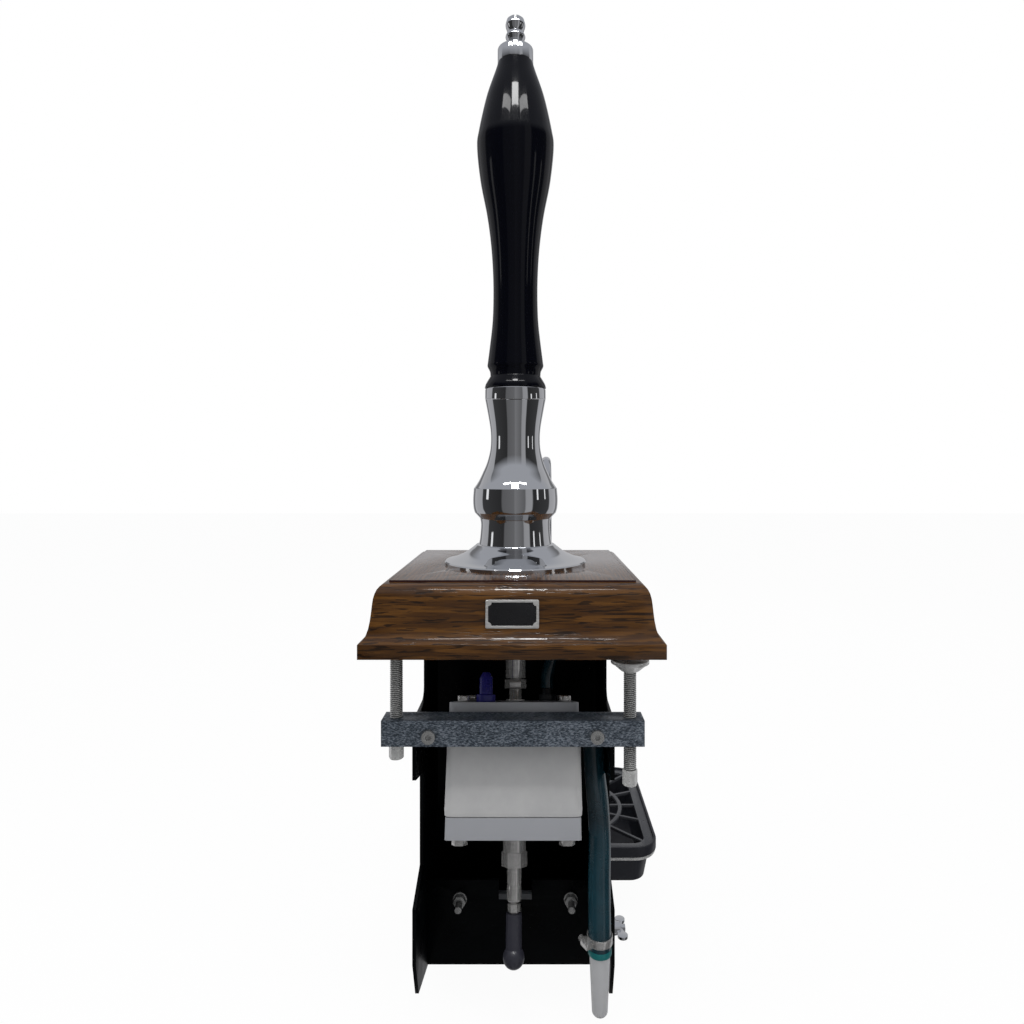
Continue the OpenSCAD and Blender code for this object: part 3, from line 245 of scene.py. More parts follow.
hose_route = metres([
    (68, -23.8, -95.7), (68, -27.2, -106.1), (68.2, -31.4, -115.9), (68.8, -37, -125.8),
    (69.6, -43.5, -136), (70, -50.5, -147.5), (70, -57, -160), (69.5, -62.5, -173),
    (68.8, -67, -186.5), (68.5, -71, -200), (68.4, -74, -214), (68.3, -76, -227),
    (68.3, -76, -237),
])


# A closed tube of round section along a route; sides go round it, steps to each of its points
def bent_tube(route, radius, sides=32, steps=6):
    line = [Vector(point) for point in smooth(route, steps)]
    bm = bmesh.new()
    rings = []
    across = None
    for i, point in enumerate(line):
        ahead = (line[min(i + 1, len(line) - 1)] - line[max(i - 1, 0)]).normalized()
        across = (across or Vector((1, 0, 0))) - ahead * ahead.dot(across or Vector((1, 0, 0)))
        across.normalize()
        other = ahead.cross(across)
        ring = bmesh.ops.create_circle(bm, segments=sides, radius=radius)["verts"]
        for k, vert in enumerate(ring):
            turn = 2 * pi * k / sides
            vert.co = point + radius * (cos(turn) * across + sin(turn) * other)
        rings.append(list({edge for vert in ring for edge in vert.link_edges}))
    for low, high in zip(rings, rings[1:]):
        bmesh.ops.bridge_loops(bm, edges=low + high)
    for end in (rings[0], rings[-1]):
        bmesh.ops.edgeloop_fill(bm, edges=end)
    bmesh.ops.recalc_face_normals(bm, faces=bm.faces)
    return bm


def new_look(name, **settings):
    look = bpy.data.materials.new(name)
    look.use_nodes = True
    shader = look.node_tree.nodes["Principled BSDF"]
    for socket, value in settings.items():
        shader.inputs[socket.replace("_", " ")].default_value = value
    return look, look.node_tree, shader


def surface_place(tree, stretch=(1, 1, 1)):
    place = tree.nodes.new("ShaderNodeTexCoord")
    return put(tree, "Mapping", Vector=place.outputs["Object"], Scale=stretch).outputs[0]


def graded(tree, factor, *stops):
    ramp = put(tree, "ValToRGB", Fac=factor)
    elements = ramp.color_ramp.elements
    for index, (place, colour) in enumerate(stops):
        stop = elements[index] if index < 2 else elements.new(place)
        stop.position = place
        stop.color = (*colour, 1)
    return ramp.outputs[0]


def bumped(tree, shader, height, strength, distance):
    bump = put(tree, "Bump", Height=height, Strength=strength, Distance=distance)
    tree.links.new(bump.outputs[0], shader.inputs["Normal"])


def new_group(name, inputs, outputs):
    group = bpy.data.node_groups.new(name, "ShaderNodeTree")
    for socket, kind, value in inputs:
        group.interface.new_socket(socket, in_out="INPUT", socket_type=kind).default_value = value
    for socket, kind in outputs:
        group.interface.new_socket(socket, in_out="OUTPUT", socket_type=kind)
    return group, group.nodes.new("NodeGroupInput"), group.nodes.new("NodeGroupOutput")


# Faint smears and specks, which vary how glossy a handled surface is
smears, smears_in, smears_out = new_group(
    "smears",
    [("Clean", "NodeSocketFloat", 0.1), ("Smeared", "NodeSocketFloat", 0.3),
     ("Scale", "NodeSocketFloat", 20.0)],
    [("Roughness", "NodeSocketFloat"), ("Speck", "NodeSocketFloat")],
)
place = surface_place(smears)
clouds = put(smears, "TexNoise", Vector=place, Scale=smears_in.outputs["Scale"], Detail=5.0,
             Roughness=0.65)
specks = put(smears, "TexNoise", Vector=place, Scale=900.0, Detail=2.0)
spread = put(smears, "MapRange", Value=clouds.outputs[0], From_Min=0.38, From_Max=0.72,
             To_Min=smears_in.outputs["Clean"], To_Max=smears_in.outputs["Smeared"])
smears.links.new(spread.outputs[0], smears_out.inputs["Roughness"])
smears.links.new(between(smears, specks.outputs[0], 0.62, 0.75), smears_out.inputs["Speck"])


def smeared(tree, shader, clean, dull, scale):
    node = tree.nodes.new("ShaderNodeGroup")
    node.node_tree = smears
    node.inputs["Clean"].default_value = clean
    node.inputs["Smeared"].default_value = dull
    node.inputs["Scale"].default_value = scale
    tree.links.new(node.outputs["Roughness"], shader.inputs["Roughness"])
    return node.outputs["Speck"]


teal_hose, tree, shader = new_look("teal_hose", Coat_Weight=0.5, Coat_Roughness=0.12)
drift = put(tree, "TexNoise", Vector=surface_place(tree), Scale=26.0, Detail=3.0)
tree.links.new(graded(tree, drift.outputs[0], (0.3, (0.002, 0.014, 0.021)), (0.7, (0.006, 0.030, 0.042))),
               shader.inputs["Base Color"])
speck = smeared(tree, shader, 0.16, 0.34, 60.0)
bumped(tree, shader, speck, 0.15, 0.0002)


# A finished piece: its mesh is shaded smooth but for its sharp edges, given its finish, hung on
# its body and set in place of the CAD nodes that it stands for.
def add_piece(name, bm, look, body, *nodes, sharp=35, slot=None):
    for edge in bm.edges:
        flat = len(edge.link_faces) != 2 or edge.calc_face_angle(0) > radians(sharp)
        edge.smooth = not flat
    for face in bm.faces:
        face.smooth = True
    data = bpy.data.meshes.new(name)
    bm.to_mesh(data)
    bm.free()
    data.materials.append(look)
    piece = bpy.data.objects.new(name, data)
    bpy.context.scene.collection.objects.link(piece)
    if body:
        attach(piece, body)
    if nodes:
        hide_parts(*nodes)
    return piece


inlet_hose = add_piece("inlet_hose_tube", bent_tube(hose_route, hose_diameter / 2), teal_hose,
                       "cylinder", "inlet_hose", slot="hose_teal")

# Clip, ring and pale tail on the inlet hose.
# The clip is a steel band with a worm housing, the ring is green plastic, and the tail tapers to
# an open end that the cellar line is pushed on.
stainless, tree, shader = new_look("stainless", Metallic=0.78)
brushed = put(tree, "TexNoise", Vector=surface_place(tree, (1, 1, 14)), Scale=120.0, Detail=3.0)
tree.links.new(graded(tree, brushed.outputs[0], (0.3, (0.46, 0.45, 0.44)), (0.7, (0.64, 0.63, 0.61))),
               shader.inputs["Base Color"])
smeared(tree, shader, 0.08, 0.2, 70.0)
bumped(tree, shader, brushed.outputs[0], 0.08, 0.0001)

green_ring, tree, shader = new_look("green_ring", Base_Color=(0.0, 0.10, 0.10, 1))
smeared(tree, shader, 0.3, 0.5, 90.0)

pale_tail, tree, shader = new_look("pale_tail", Base_Color=(0.36, 0.36, 0.365, 1),
                                   Subsurface_Weight=0.15)
shader.inputs["Subsurface Radius"].default_value = (0.002, 0.002, 0.0015)
smeared(tree, shader, 0.28, 0.45, 60.0)


# A copy of a CAD solid, for a piece that keeps its exact shape, with its edges eased
def from_cad(node, ease, segments=2, sharp=30):
    bm = bmesh.new()
    bm.from_mesh(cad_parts[node].data)
    bmesh.ops.remove_doubles(bm, verts=bm.verts, dist=2e-6)
    bmesh.ops.dissolve_limit(bm, angle_limit=radians(0.5), verts=bm.verts, edges=bm.edges)
    edges = [edge for edge in bm.edges
             if len(edge.link_faces) == 2 and edge.calc_face_angle(0) > radians(sharp)]
    bmesh.ops.bevel(bm, geom=edges, offset=ease * MM, offset_type="OFFSET", segments=segments,
                    profile=0.5, affect="EDGES", clamp_overlap=True, material=-1)
    return bm


def dress(node, look, body, slot, ease, **options):
    return add_piece(node + "_fine", from_cad(node, ease, **options), look, body, node, slot=slot)


# A turned shape: the outline is (radius, height) from foot to head, spun about the Z axis
def lathe(outline, steps):
    bm = bmesh.new()
    rim = [bm.verts.new((radius, 0, height)) for radius, height in outline]
    edges = [bm.edges.new(pair) for pair in zip(rim, rim[1:])]
    bmesh.ops.spin(
        bm, geom=rim + edges, cent=(0, 0, 0), axis=(0, 0, 1), angle=2 * pi, steps=steps, use_merge=True
    )
    bmesh.ops.remove_doubles(bm, verts=bm.verts, dist=1e-6)
    bmesh.ops.recalc_face_normals(bm, faces=bm.faces)
    return bm


def ring_outline(outline):
    return outline + outline[:1]


def moved(bm, x, y, z):
    bmesh.ops.translate(bm, verts=bm.verts, vec=(x, y, z))


hose_end = Vector(hose_route[-1])
clip = dress("hose_clip", stainless, "cylinder", "stainless", ease=0.25)
ring = dress("hose_ring", green_ring, "cylinder", "ring_green", ease=0.6)
TAIL = 53
tail = lathe(ring_outline(metres([
    (4.8, 0), (4.8, TAIL - 0.4), (6, TAIL), (6, 48), (7.6, 48), (8.2, 47.4), (8.1, 45), (7.1, 22),
    (6.2, 2.4), (5.9, 1.4), (5.0, 0.2)
])), 48)
moved(tail, hose_end.x, hose_end.y, hose_end.z - TAIL * MM)
tail = add_piece("tail", tail, pale_tail, "cylinder", "inlet_tail", slot="tail_white")

# Plinth.
# A board framed by four mitred mouldings in stained open-pored oak, under a thick gloss lacquer.
# The rails are painted darker from the quirk up to the lip: partly darker stain, partly painted shade.
QUIRK = 53.8


def oak_look(name, along, quirk=True, lacquer=0.75):
    look, tree, shader = new_look(name, Specular_IOR_Level=0.15, Coat_Weight=lacquer,
                                  Coat_Roughness=0.05, Coat_IOR=1.5)
    stretch = (0.07, 1, 1) if along == "X" else (1, 0.07, 1)
    place = surface_place(tree, stretch)
    drift = put(tree, "TexNoise", Vector=place, Scale=30.0, Detail=4.0, Roughness=0.6)
    figure = put(tree, "VectorMath")
    figure.operation = "MULTIPLY_ADD"
    tree.links.new(drift.outputs["Color"], figure.inputs[0])
    figure.inputs[1].default_value = (0.02, 0.02, 0.02)
    tree.links.new(place, figure.inputs[2])
    rings = put(tree, "TexWave", Vector=figure.outputs[0], Scale=90.0, Distortion=6.0, Detail=3.0,
                Detail_Scale=1.4)
    rings.bands_direction = "Y" if along == "X" else "X"
    fibre = put(tree, "TexNoise", Vector=place, Scale=900.0, Detail=4.0, Roughness=0.7)
    pores = put(tree, "TexNoise", Vector=figure.outputs[0], Scale=700.0, Detail=1.0)
    tone = put(tree, "Mix", Factor=0.6)
    tree.links.new(rings.outputs["Fac"], tone.inputs["A"])
    tree.links.new(fibre.outputs[0], tone.inputs["B"])
    colour = graded(tree, tone.outputs["Result"], (0.15, (0.026, 0.0085, 0.0008)),
                    (0.85, (0.112, 0.044, 0.0050)), (0.5, (0.062, 0.0235, 0.0022)))
    pore = between(tree, pores.outputs[0], 0.57, 0.63, 1.0, 0.3)
    pore_grey = put(tree, "CombineColor", Red=pore, Green=pore, Blue=pore).outputs[0]
    stained = colour_mix(tree, 1.0, colour, pore_grey, "MULTIPLY")
    if quirk:
        height = put(tree, "SeparateXYZ", Vector=surface_place(tree)).outputs["Z"]
        # Painted shade and darker stain: the colour goes dark from the quirk height upwards.
        quirk_stain_and_shade = between(tree, height, QUIRK * MM, (QUIRK + 0.3) * MM)
        stained = colour_mix(tree, quirk_stain_and_shade, stained, (0.018, 0.0012, 0.0006))
    tree.links.new(stained, shader.inputs["Base Color"])
    smeared(tree, shader, 0.35, 0.5, 30.0)
    bumped(tree, shader, pore, 0.3, 0.0004)
    film = put(tree, "TexNoise", Vector=surface_place(tree), Scale=140.0, Detail=3.0)
    relief = put(tree, "Mix", Factor=0.5)
    tree.links.new(film.outputs[0], relief.inputs["A"])
    tree.links.new(pore, relief.inputs["B"])
    skin = put(tree, "Bump", Height=relief.outputs["Result"], Strength=0.35, Distance=0.0005)
    tree.links.new(skin.outputs[0], shader.inputs["Coat Normal"])
    return look


oak_board = oak_look("oak_board", "Y", quirk=False, lacquer=0.85)
oak_across = oak_look("oak_across", "X")
oak_deep = oak_look("oak_deep", "Y")
dress("plinth_top_board", oak_board, "frame", "oak", ease=0.8, segments=3)
for rail, oak in (("front", oak_across), ("rear", oak_across), ("left", oak_deep), ("right", oak_deep)):
    dress("plinth_" + rail + "_rail", oak, "frame", "oak", ease=0.35)

# Badge.
# A small blank metal plate with a bright raised rim and a satin black field with notched corners,
# stuck on the front rail.
badge_black, tree, shader = new_look("badge_black", Base_Color=(0.006, 0.006, 0.007, 1))
smeared(tree, shader, 0.22, 0.36, 110.0)

rim_silver, tree, shader = new_look("rim_silver", Metallic=0.7)
strokes = put(tree, "TexNoise", Vector=surface_place(tree, (0.05, 1, 1)), Scale=1600.0, Detail=2.0)
tree.links.new(graded(tree, strokes.outputs[0], (0.3, (0.50, 0.49, 0.47)), (0.7, (0.70, 0.69, 0.67))),
               shader.inputs["Base Color"])
smeared(tree, shader, 0.3, 0.45, 60.0)
bumped(tree, shader, strokes.outputs[0], 0.15, 0.0001)
dress("badge_rim", rim_silver, "frame", "chrome", ease=0.3, segments=3)
dress("badge_panel", badge_black, "frame", "badge_black", ease=0.1)

# Vase.
# A polished, chromed casting: round foot flange, waist, ball and flared neck. Its mouth is cut to
# a cylinder about the pivot, and a slot in the back lets the lever swing.
FOOT, SEAM, PIVOT = 55.4, 201.7, 30
MOUTH_RADIUS, MOUTH_FOOT = 171.7, 170

chrome, tree, shader = new_look("chrome", Metallic=1.0, Base_Color=(0.70, 0.71, 0.73, 1))
smeared(tree, shader, 0.02, 0.06, 24.0)


# The mouth is bent to a cylinder about the pivot, in full at the seam with the ferrule and less
# and less down to the height MOUTH_FOOT.
def to_seam(bm):
    low, high = MOUTH_FOOT * MM, SEAM * MM
    for vert in bm.verts:
        reach = ((MOUTH_RADIUS * MM) ** 2 - vert.co.y ** 2) ** 0.5
        share = min(max((vert.co.z - low) / (high - low), 0), 1)
        vert.co.z += (PIVOT * MM + reach - high) * share


def carved(bm, *cutters):
    def temporary(shape):
        data = bpy.data.meshes.new("temporary")
        shape.to_mesh(data)
        shape.free()
        thing = bpy.data.objects.new("temporary", data)
        bpy.context.scene.collection.objects.link(thing)
        return thing

    body = temporary(bm)
    tools = [temporary(cutter) for cutter in cutters]
    for tool in tools:
        cut = body.modifiers.new("cut", "BOOLEAN")
        cut.operation = "DIFFERENCE"
        cut.solver = "EXACT"
        cut.object = tool
    bpy.context.view_layer.update()
    whole = body.evaluated_get(bpy.context.evaluated_depsgraph_get())
    result = bmesh.new()
    result.from_mesh(whole.to_mesh())
    whole.to_mesh_clear()
    for thing in [body, *tools]:
        data = thing.data
        bpy.data.objects.remove(thing)
        bpy.data.meshes.remove(data)
    return result


# Outline of the vase, as (radius, height)
vase_lower = smooth([
    (62.2, FOOT + 3.2), (55, FOOT + 5.1), (45, FOOT + 9.6), (38, FOOT + 14.6), (34.9, FOOT + 17.1)
], 8)
vase_stem = smooth([
    (32.5, FOOT + 17.6), (31.5, FOOT + 24), (30.8, FOOT + 34.6), (31.7, FOOT + 40.6)
], 6)
vase_ball = smooth([(36.4, FOOT + 45.6), (37.5, FOOT + 50), (37.9, FOOT + 57.6), (37.2, FOOT + 67.2)], 8)
vase_neck = smooth([
    (36.7, FOOT + 67.7), (32.9, FOOT + 73.4), (29.2, FOOT + 81),
    (25.3, FOOT + 90.2), (22.6, FOOT + 101), (21.9, FOOT + 111),
    (22.5, FOOT + 121), (24.6, SEAM - 12.7), (27, SEAM)
], 8)
vase_skin = [(63, FOOT), (63, FOOT + 2.2), *vase_lower, *vase_stem, *vase_ball, *vase_neck]
vase_core = [(min(radius - 4, 30), height) for radius, height in vase_skin if height > FOOT + 17]
vase = lathe(ring_outline(metres([
    (30, FOOT), *vase_skin, *reversed([(min(r, 29.9), z) for r, z in vase_core]), (30, FOOT + 4)
])), 192)
to_seam(vase)

# The slot as (depth, height), seen from the right: it follows the lever's swing to the back.
SLOT_HALF = 9
slot_side = [(3.25, 24.4), (228.4, 154.4), (228.4, SEAM + 20), (-6.5, SEAM + 20), (-6.5, 24.4)]
vase_slot = bmesh.new()
for x in (-SLOT_HALF, SLOT_HALF):
    vase_slot.faces.new([vase_slot.verts.new((x * MM, y * MM, z * MM)) for y, z in slot_side])
bmesh.ops.bridge_loops(vase_slot, edges=vase_slot.edges)
bmesh.ops.recalc_face_normals(vase_slot, faces=vase_slot.faces)
vase = carved(vase, vase_slot)
add_piece("vase", vase, chrome, "frame", "column_vase", slot="chrome")

# Handle.
# A chromed ferrule whose foot follows the same seam, a tall turned grip in gloss black, and a
# chromed collar under a turned finial with a screwdriver slot.
ferrule_top = SEAM + 9.9
ferrule = lathe(ring_outline(metres([
    (6, SEAM), (26.9, SEAM), (27.2, SEAM + 0.3), (27.2, ferrule_top - 1.3),
    (26.9, ferrule_top - 0.5), (26.1, ferrule_top), (6, ferrule_top)
])), 160)
FERRULE_RADIUS = 172.0
for vert in ferrule.verts:
    if vert.co.z < (SEAM + 1) * MM:
        vert.co.z += PIVOT * MM + ((FERRULE_RADIUS * MM) ** 2 - vert.co.y ** 2) ** 0.5 - SEAM * MM
add_piece("ferrule", ferrule, chrome, "handle", "handle_ferrule", slot="chrome")

handle_black, tree, shader = new_look("handle_black", Base_Color=(0.0012, 0.0014, 0.003, 1),
                                      Specular_IOR_Level=0.04, Coat_Weight=0.35, Coat_Roughness=0.04)
speck = smeared(tree, shader, 0.14, 0.3, 18.0)
bumped(tree, shader, speck, 0.05, 0.0002)
GRIP, COLLAR, ROD_FOOT = 292, 13, 202.1
z = ferrule_top
grip_base = smooth([(27.5, z + 0.6), (26.4, z + 4.4), (22.6, z + 10.8)], 8)
grip_bead = smooth([(22.5, z + 11.4), (22.9, z + 15.4), (25, z + 19.8), (24.9, z + 22.6)], 8)
grip_shaft = smooth([
    (23.3, z + 35), (20.6, z + 59), (19.8, z + 83), (20.3, z + 107), (22.1, z + 131),
    (25.5, z + 156), (31.3, z + 186), (34.4, z + 215.6), (32.8, z + 230.6), (26.1, z + 260.4),
    (18.1, z + 284.2), (15.7, z + GRIP)
], 8)
grip = lathe(ring_outline(metres([
    (5, z), (26.8, z), *grip_base, *grip_bead, *grip_shaft, (5, z + GRIP)
])), 160)
add_piece("grip", grip, handle_black, "handle", "handle_grip", slot="handle_black")

z += GRIP
collar = lathe(ring_outline(metres([
    (5, z), (15.7, z), (16, z + 0.3), (16, z + 11.8), (15.7, z + 12.5), (14.8, z + COLLAR), (5, z + COLLAR)
])), 96)
add_piece("collar", collar, chrome, "handle", "finial_collar", slot="chrome")
z += COLLAR
rod = [(0, ROD_FOOT), (4, ROD_FOOT), (4, ferrule_top), (5, ferrule_top), (5, z)]
finial_foot = smooth([(7.7, z + 8), (8.9, z + 11), (7.7, z + 14.4)], 8)
finial_ball = smooth([(7.7, z + 17), (8.9, z + 21.4), (7.7, z + 26.4)], 8)
finial = lathe(metres([
    *rod, (7.4, z), (7.7, z + 0.3), (7.7, z + 7), *finial_foot, (6.5, z + 15.7), *finial_ball,
    (5.3, z + 28.4), (0, z + 28.4)
]), 96)

screwdriver_slot = bmesh.new()
bmesh.ops.create_cube(screwdriver_slot, size=1)
bmesh.ops.scale(screwdriver_slot, verts=screwdriver_slot.verts, vec=(2 * MM, 24 * MM, 5.6 * MM))
moved(screwdriver_slot, 0, 0, (z + 27.2) * MM)
finial = carved(finial, screwdriver_slot)
add_piece("finial", finial, chrome, "handle", "handle_tie_rod", slot="chrome")

# Lever and pivot, under the board.
# A cranked steel plate on two bronze bushes turns on a pin in a folded zinc plated bracket. The
# bracket, the vase and the body are screwed to the board from below.
zinc, tree, shader = new_look("zinc", Metallic=0.35)
flakes = put(tree, "TexNoise", Vector=surface_place(tree, (0.35, 1, 1)), Scale=1300.0, Detail=3.0,
             Roughness=0.75)
cloud = put(tree, "TexNoise", Vector=surface_place(tree), Scale=60.0, Detail=5.0, Roughness=0.7)
mottle = put(tree, "Mix", Factor=0.2)
tree.links.new(flakes.outputs[0], mottle.inputs["A"])
tree.links.new(cloud.outputs[0], mottle.inputs["B"])
tree.links.new(graded(tree, mottle.outputs["Result"], (0.38, (0.012, 0.018, 0.026)),
                      (0.60, (0.22, 0.25, 0.29)), (0.5, (0.062, 0.078, 0.098))),
               shader.inputs["Base Color"])
smeared(tree, shader, 0.36, 0.55, 80.0)
bumped(tree, shader, flakes.outputs[0], 0.2, 0.0002)

bronze, tree, shader = new_look("bronze", Metallic=1.0, Base_Color=(0.45, 0.26, 0.10, 1))
smeared(tree, shader, 0.25, 0.4, 60.0)
dress("lever", stainless, "handle", "stainless", ease=0.4)
dress("pivot_bushes", bronze, "handle", "bronze", ease=0.15)
dress("pivot_pin", stainless, "frame", "stainless", ease=0.3)
dress("pivot_bracket", zinc, "frame", "zinc", ease=0.4)
dress("plinth_screws", stainless, "frame", "stainless", ease=0.15)

# Body.
# Folded sheet in black powder coat, open to the front, with ears that carry the clamp bar, a
# bolted foot plate and a grey liner in its slot.
black_sheet, tree, shader = new_look("black_sheet", Specular_IOR_Level=0.08)
place = surface_place(tree)
peel = put(tree, "TexNoise", Vector=place, Scale=900.0, Detail=2.0)
wide = put(tree, "TexNoise", Vector=place, Scale=40.0, Detail=3.0)
tree.links.new(graded(tree, wide.outputs[0], (0.3, (0.0006, 0.0008, 0.001)),
                      (0.7, (0.0012, 0.002, 0.0025))), shader.inputs["Base Color"])
smeared(tree, shader, 0.26, 0.42, 40.0)
bumped(tree, shader, peel.outputs[0], 0.22, 0.0002)

liner_grey, tree, shader = new_look("liner_grey", Base_Color=(0.045, 0.048, 0.052, 1))
smeared(tree, shader, 0.35, 0.5, 90.0)
dull_steel, tree, shader = new_look("dull_steel", Metallic=0.8, Base_Color=(0.42, 0.42, 0.41, 1))
smeared(tree, shader, 0.15, 0.3, 90.0)
dress("body_channel", black_sheet, "frame", "black_sheet", ease=0.5)
dress("foot_plate", black_sheet, "frame", "black_sheet", ease=0.4)
dress("foot_plate_bolts", dull_steel, "frame", "stainless", ease=0.3)
dress("notch_liner", liner_grey, "frame", "liner_grey", ease=0.4)

# Clamp.
# A square zinc plated bar, its two bolts, and two long clamp screws that turn in it and press
# swivel feet against the underside of the counter.
THREAD_STEPS = 24
SCREW_RADIUS, PITCH = 5, 1.5
SCREW_X, SCREW_Y = 91.7, -79
SCREW_LENGTH, NECK, THREAD_CORE = 94.5, 5, 4.2
HEX_ACROSS, HEX_TOP, FOOT_PAD = 10.2, 12.4, 9


# Bright zinc plate. On the clamp screws painted shade darkens the roots of the threads, which lie
# nearer to the screw's axis.
def zinc_plate(name, shade_thread_roots):
    look, tree, shader = new_look(name, Metallic=0.6)
    bloom = put(tree, "TexNoise", Vector=surface_place(tree), Scale=240.0, Detail=4.0)
    colour = graded(tree, bloom.outputs[0], (0.3, (0.50, 0.50, 0.49)), (0.7, (0.70, 0.70, 0.68)))
    if shade_thread_roots:
        place = put(tree, "SeparateXYZ", Vector=surface_place(tree)).outputs
        folded = put(tree, "CombineXYZ", X=maths(tree, "ABSOLUTE", place["X"]), Y=place["Y"])
        from_axis = put(tree, "VectorMath", Vector=folded.outputs[0])
        from_axis.operation = "DISTANCE"
        from_axis.inputs[1].default_value = (SCREW_X * MM, SCREW_Y * MM, 0)
        root_shade_mask = between(tree, from_axis.outputs["Value"], (SCREW_RADIUS - 0.7) * MM,
                        (SCREW_RADIUS - 0.15) * MM, 0.12, 1.0)
        # Painted shade: near black in the thread roots, full zinc colour on the crests.
        colour = colour_mix(tree, root_shade_mask, (0.03, 0.03, 0.03), colour)
    tree.links.new(colour, shader.inputs["Base Color"])
    smeared(tree, shader, 0.2, 0.38, 80.0)
    return look


bright_zinc = zinc_plate("bright_zinc", False)
screw_zinc_root_shade = zinc_plate("screw_zinc_root_shade", True)


def threaded(radius, pitch, z0, z1):
    depth = 0.6 * pitch
    turns = int((z1 - z0) / pitch)
    profile = [(radius - depth, 0), (radius, 0.44), (radius, 0.56), (radius - depth, 1.0)]
    bm = bmesh.new()
    rim = [bm.verts.new((r * MM, 0, (z0 + share * pitch) * MM)) for r, share in profile]
    edges = [bm.edges.new(pair) for pair in zip(rim, rim[1:])]
    bmesh.ops.spin(
        bm, geom=rim + edges, cent=(0, 0, 0), axis=(0, 0, 1), angle=2 * pi * turns,
        steps=THREAD_STEPS * turns, dvec=(0, 0, pitch * MM / THREAD_STEPS)
    )
    bmesh.ops.remove_doubles(bm, verts=bm.verts, dist=1e-6)
    bmesh.ops.recalc_face_normals(bm, faces=bm.faces)
    return bm


def hexagon(across, height, ease=0.6):
    radius = across / 2 / cos(pi / 6)
    flat = lathe(metres([(0, 0), (across / 2 + 0.1, 0), (radius, ease), (radius, height - ease),
                         (across / 2 + 0.1, height), (0, height)]), 60)
    for vert in flat.verts:
        reach = max(Vector((vert.co.x, vert.co.y)).dot(Vector((cos(a), sin(a))))
                    for a in [pi / 6 + k * pi / 3 for k in range(6)])
        if reach > across / 2 * MM:
            vert.co.x *= across / 2 * MM / reach
            vert.co.y *= across / 2 * MM / reach
    return flat


def joined(*parts):
    whole = bmesh.new()
    for part in parts:
        data = bpy.data.meshes.new("part")
        part.to_mesh(data)
        part.free()
        whole.from_mesh(data)
        bpy.data.meshes.remove(data)
    return whole


dress("clamp_bar", zinc, "frame", "zinc", ease=0.7, segments=3)
dress("bar_bolts", dull_steel, "frame", "stainless", ease=0.3)
for side, x, foot_top in (("left", -SCREW_X, 12), ("right", SCREW_X, -9)):
    low = foot_top - FOOT_PAD + NECK - SCREW_LENGTH
    thread_top = SCREW_LENGTH - NECK - 0.6
    screw = joined(
        hexagon(HEX_ACROSS, HEX_TOP), threaded(SCREW_RADIUS, PITCH, HEX_TOP - 0.8, thread_top),
        lathe(metres([(0, 0.2), (THREAD_CORE, 0.2), (THREAD_CORE, thread_top + 0.3),
                      (3, thread_top + 0.6), (3, SCREW_LENGTH), (0, SCREW_LENGTH)]), 32)
    )
    moved(screw, x * MM, SCREW_Y * MM, low * MM)
    add_piece("screw_" + side, screw, screw_zinc_root_shade, "screw_" + side, "clamp_screw_" + side,
              slot="zinc", sharp=25)
    dress("clamp_foot_" + side, bright_zinc, "foot_" + side, "foot_zinc", ease=0.4)

# Cylinder.
# White acetal end plates on a lined barrel, wrapped in a pale insulating jacket and held by four
# tie bolts. It rides up and down on the fixed piston.
acetal, tree, shader = new_look("acetal", Base_Color=(0.255, 0.26, 0.275, 1), Subsurface_Weight=0.1)
shader.inputs["Subsurface Radius"].default_value = (0.003, 0.003, 0.003)
smeared(tree, shader, 0.32, 0.46, 50.0)

jacket_look, tree, shader = new_look("jacket", Sheen_Weight=0.15)
creases = put(tree, "TexNoise", Vector=surface_place(tree, (1, 1, 0.45)), Scale=32.0, Detail=4.0,
              Roughness=0.55)
grime = put(tree, "TexNoise", Vector=surface_place(tree), Scale=14.0, Detail=6.0, Roughness=0.65)
tree.links.new(graded(tree, grime.outputs[0], (0.3, (0.30, 0.30, 0.30)), (0.7, (0.385, 0.38, 0.375))),
               shader.inputs["Base Color"])
smeared(tree, shader, 0.42, 0.6, 45.0)
bumped(tree, shader, creases.outputs[0], 0.35, 0.003)

BALL_JOINT = (0, -62.8, -254.6)
LEAN = 18
JACKET_FOOT = 110.3
JACKET_HALF, JACKET_CORNER = 54.5, 7


# The cylinder and its drive lean to the bar staff; s is the distance along that line from the
# ball joint.
def tilted(bm, s):
    lean = (Matrix.Translation(Vector(BALL_JOINT) * MM) @ Matrix.Rotation(radians(-LEAN), 4, "X")
            @ Matrix.Translation((0, 0, s * MM)))
    bmesh.ops.transform(bm, matrix=lean, verts=bm.verts)


# The jacket in rings from foot to head: a height, and how far its face draws in there
jacket = bmesh.new()
rings = []
for height, inset in [(0, 1.6), (0.3, 0.5), (1.2, 0), (3, -0.1), (5.4, -0.4), (8, -0.2), (38, 0),
                      (70, 0), (75.6, 0.1), (76.6, 0.6), (77.1, 2.0)]:
    ring = []
    for quarter in range(4):
        for step in range(9):
            angle = pi / 2 * (quarter + step / 8)
            middle = JACKET_HALF - JACKET_CORNER
            x = middle * (1 if quarter in (0, 3) else -1) + (JACKET_CORNER - inset) * cos(angle)
            y = middle * (1 if quarter in (0, 1) else -1) + (JACKET_CORNER - inset) * sin(angle)
            ring.append(jacket.verts.new((x * MM, y * MM, height * MM)))
    rings.append(ring)
for low_ring, high_ring in zip(rings, rings[1:]):
    for k in range(len(low_ring)):
        n = (k + 1) % len(low_ring)
        jacket.faces.new((low_ring[k], low_ring[n], high_ring[n], high_ring[k]))
jacket.faces.new(list(reversed(rings[0])))
jacket.faces.new(rings[-1])
tilted(jacket, JACKET_FOOT)
add_piece("jacket_skin", jacket, jacket_look, "cylinder", "insulation_jacket", slot="jacket")

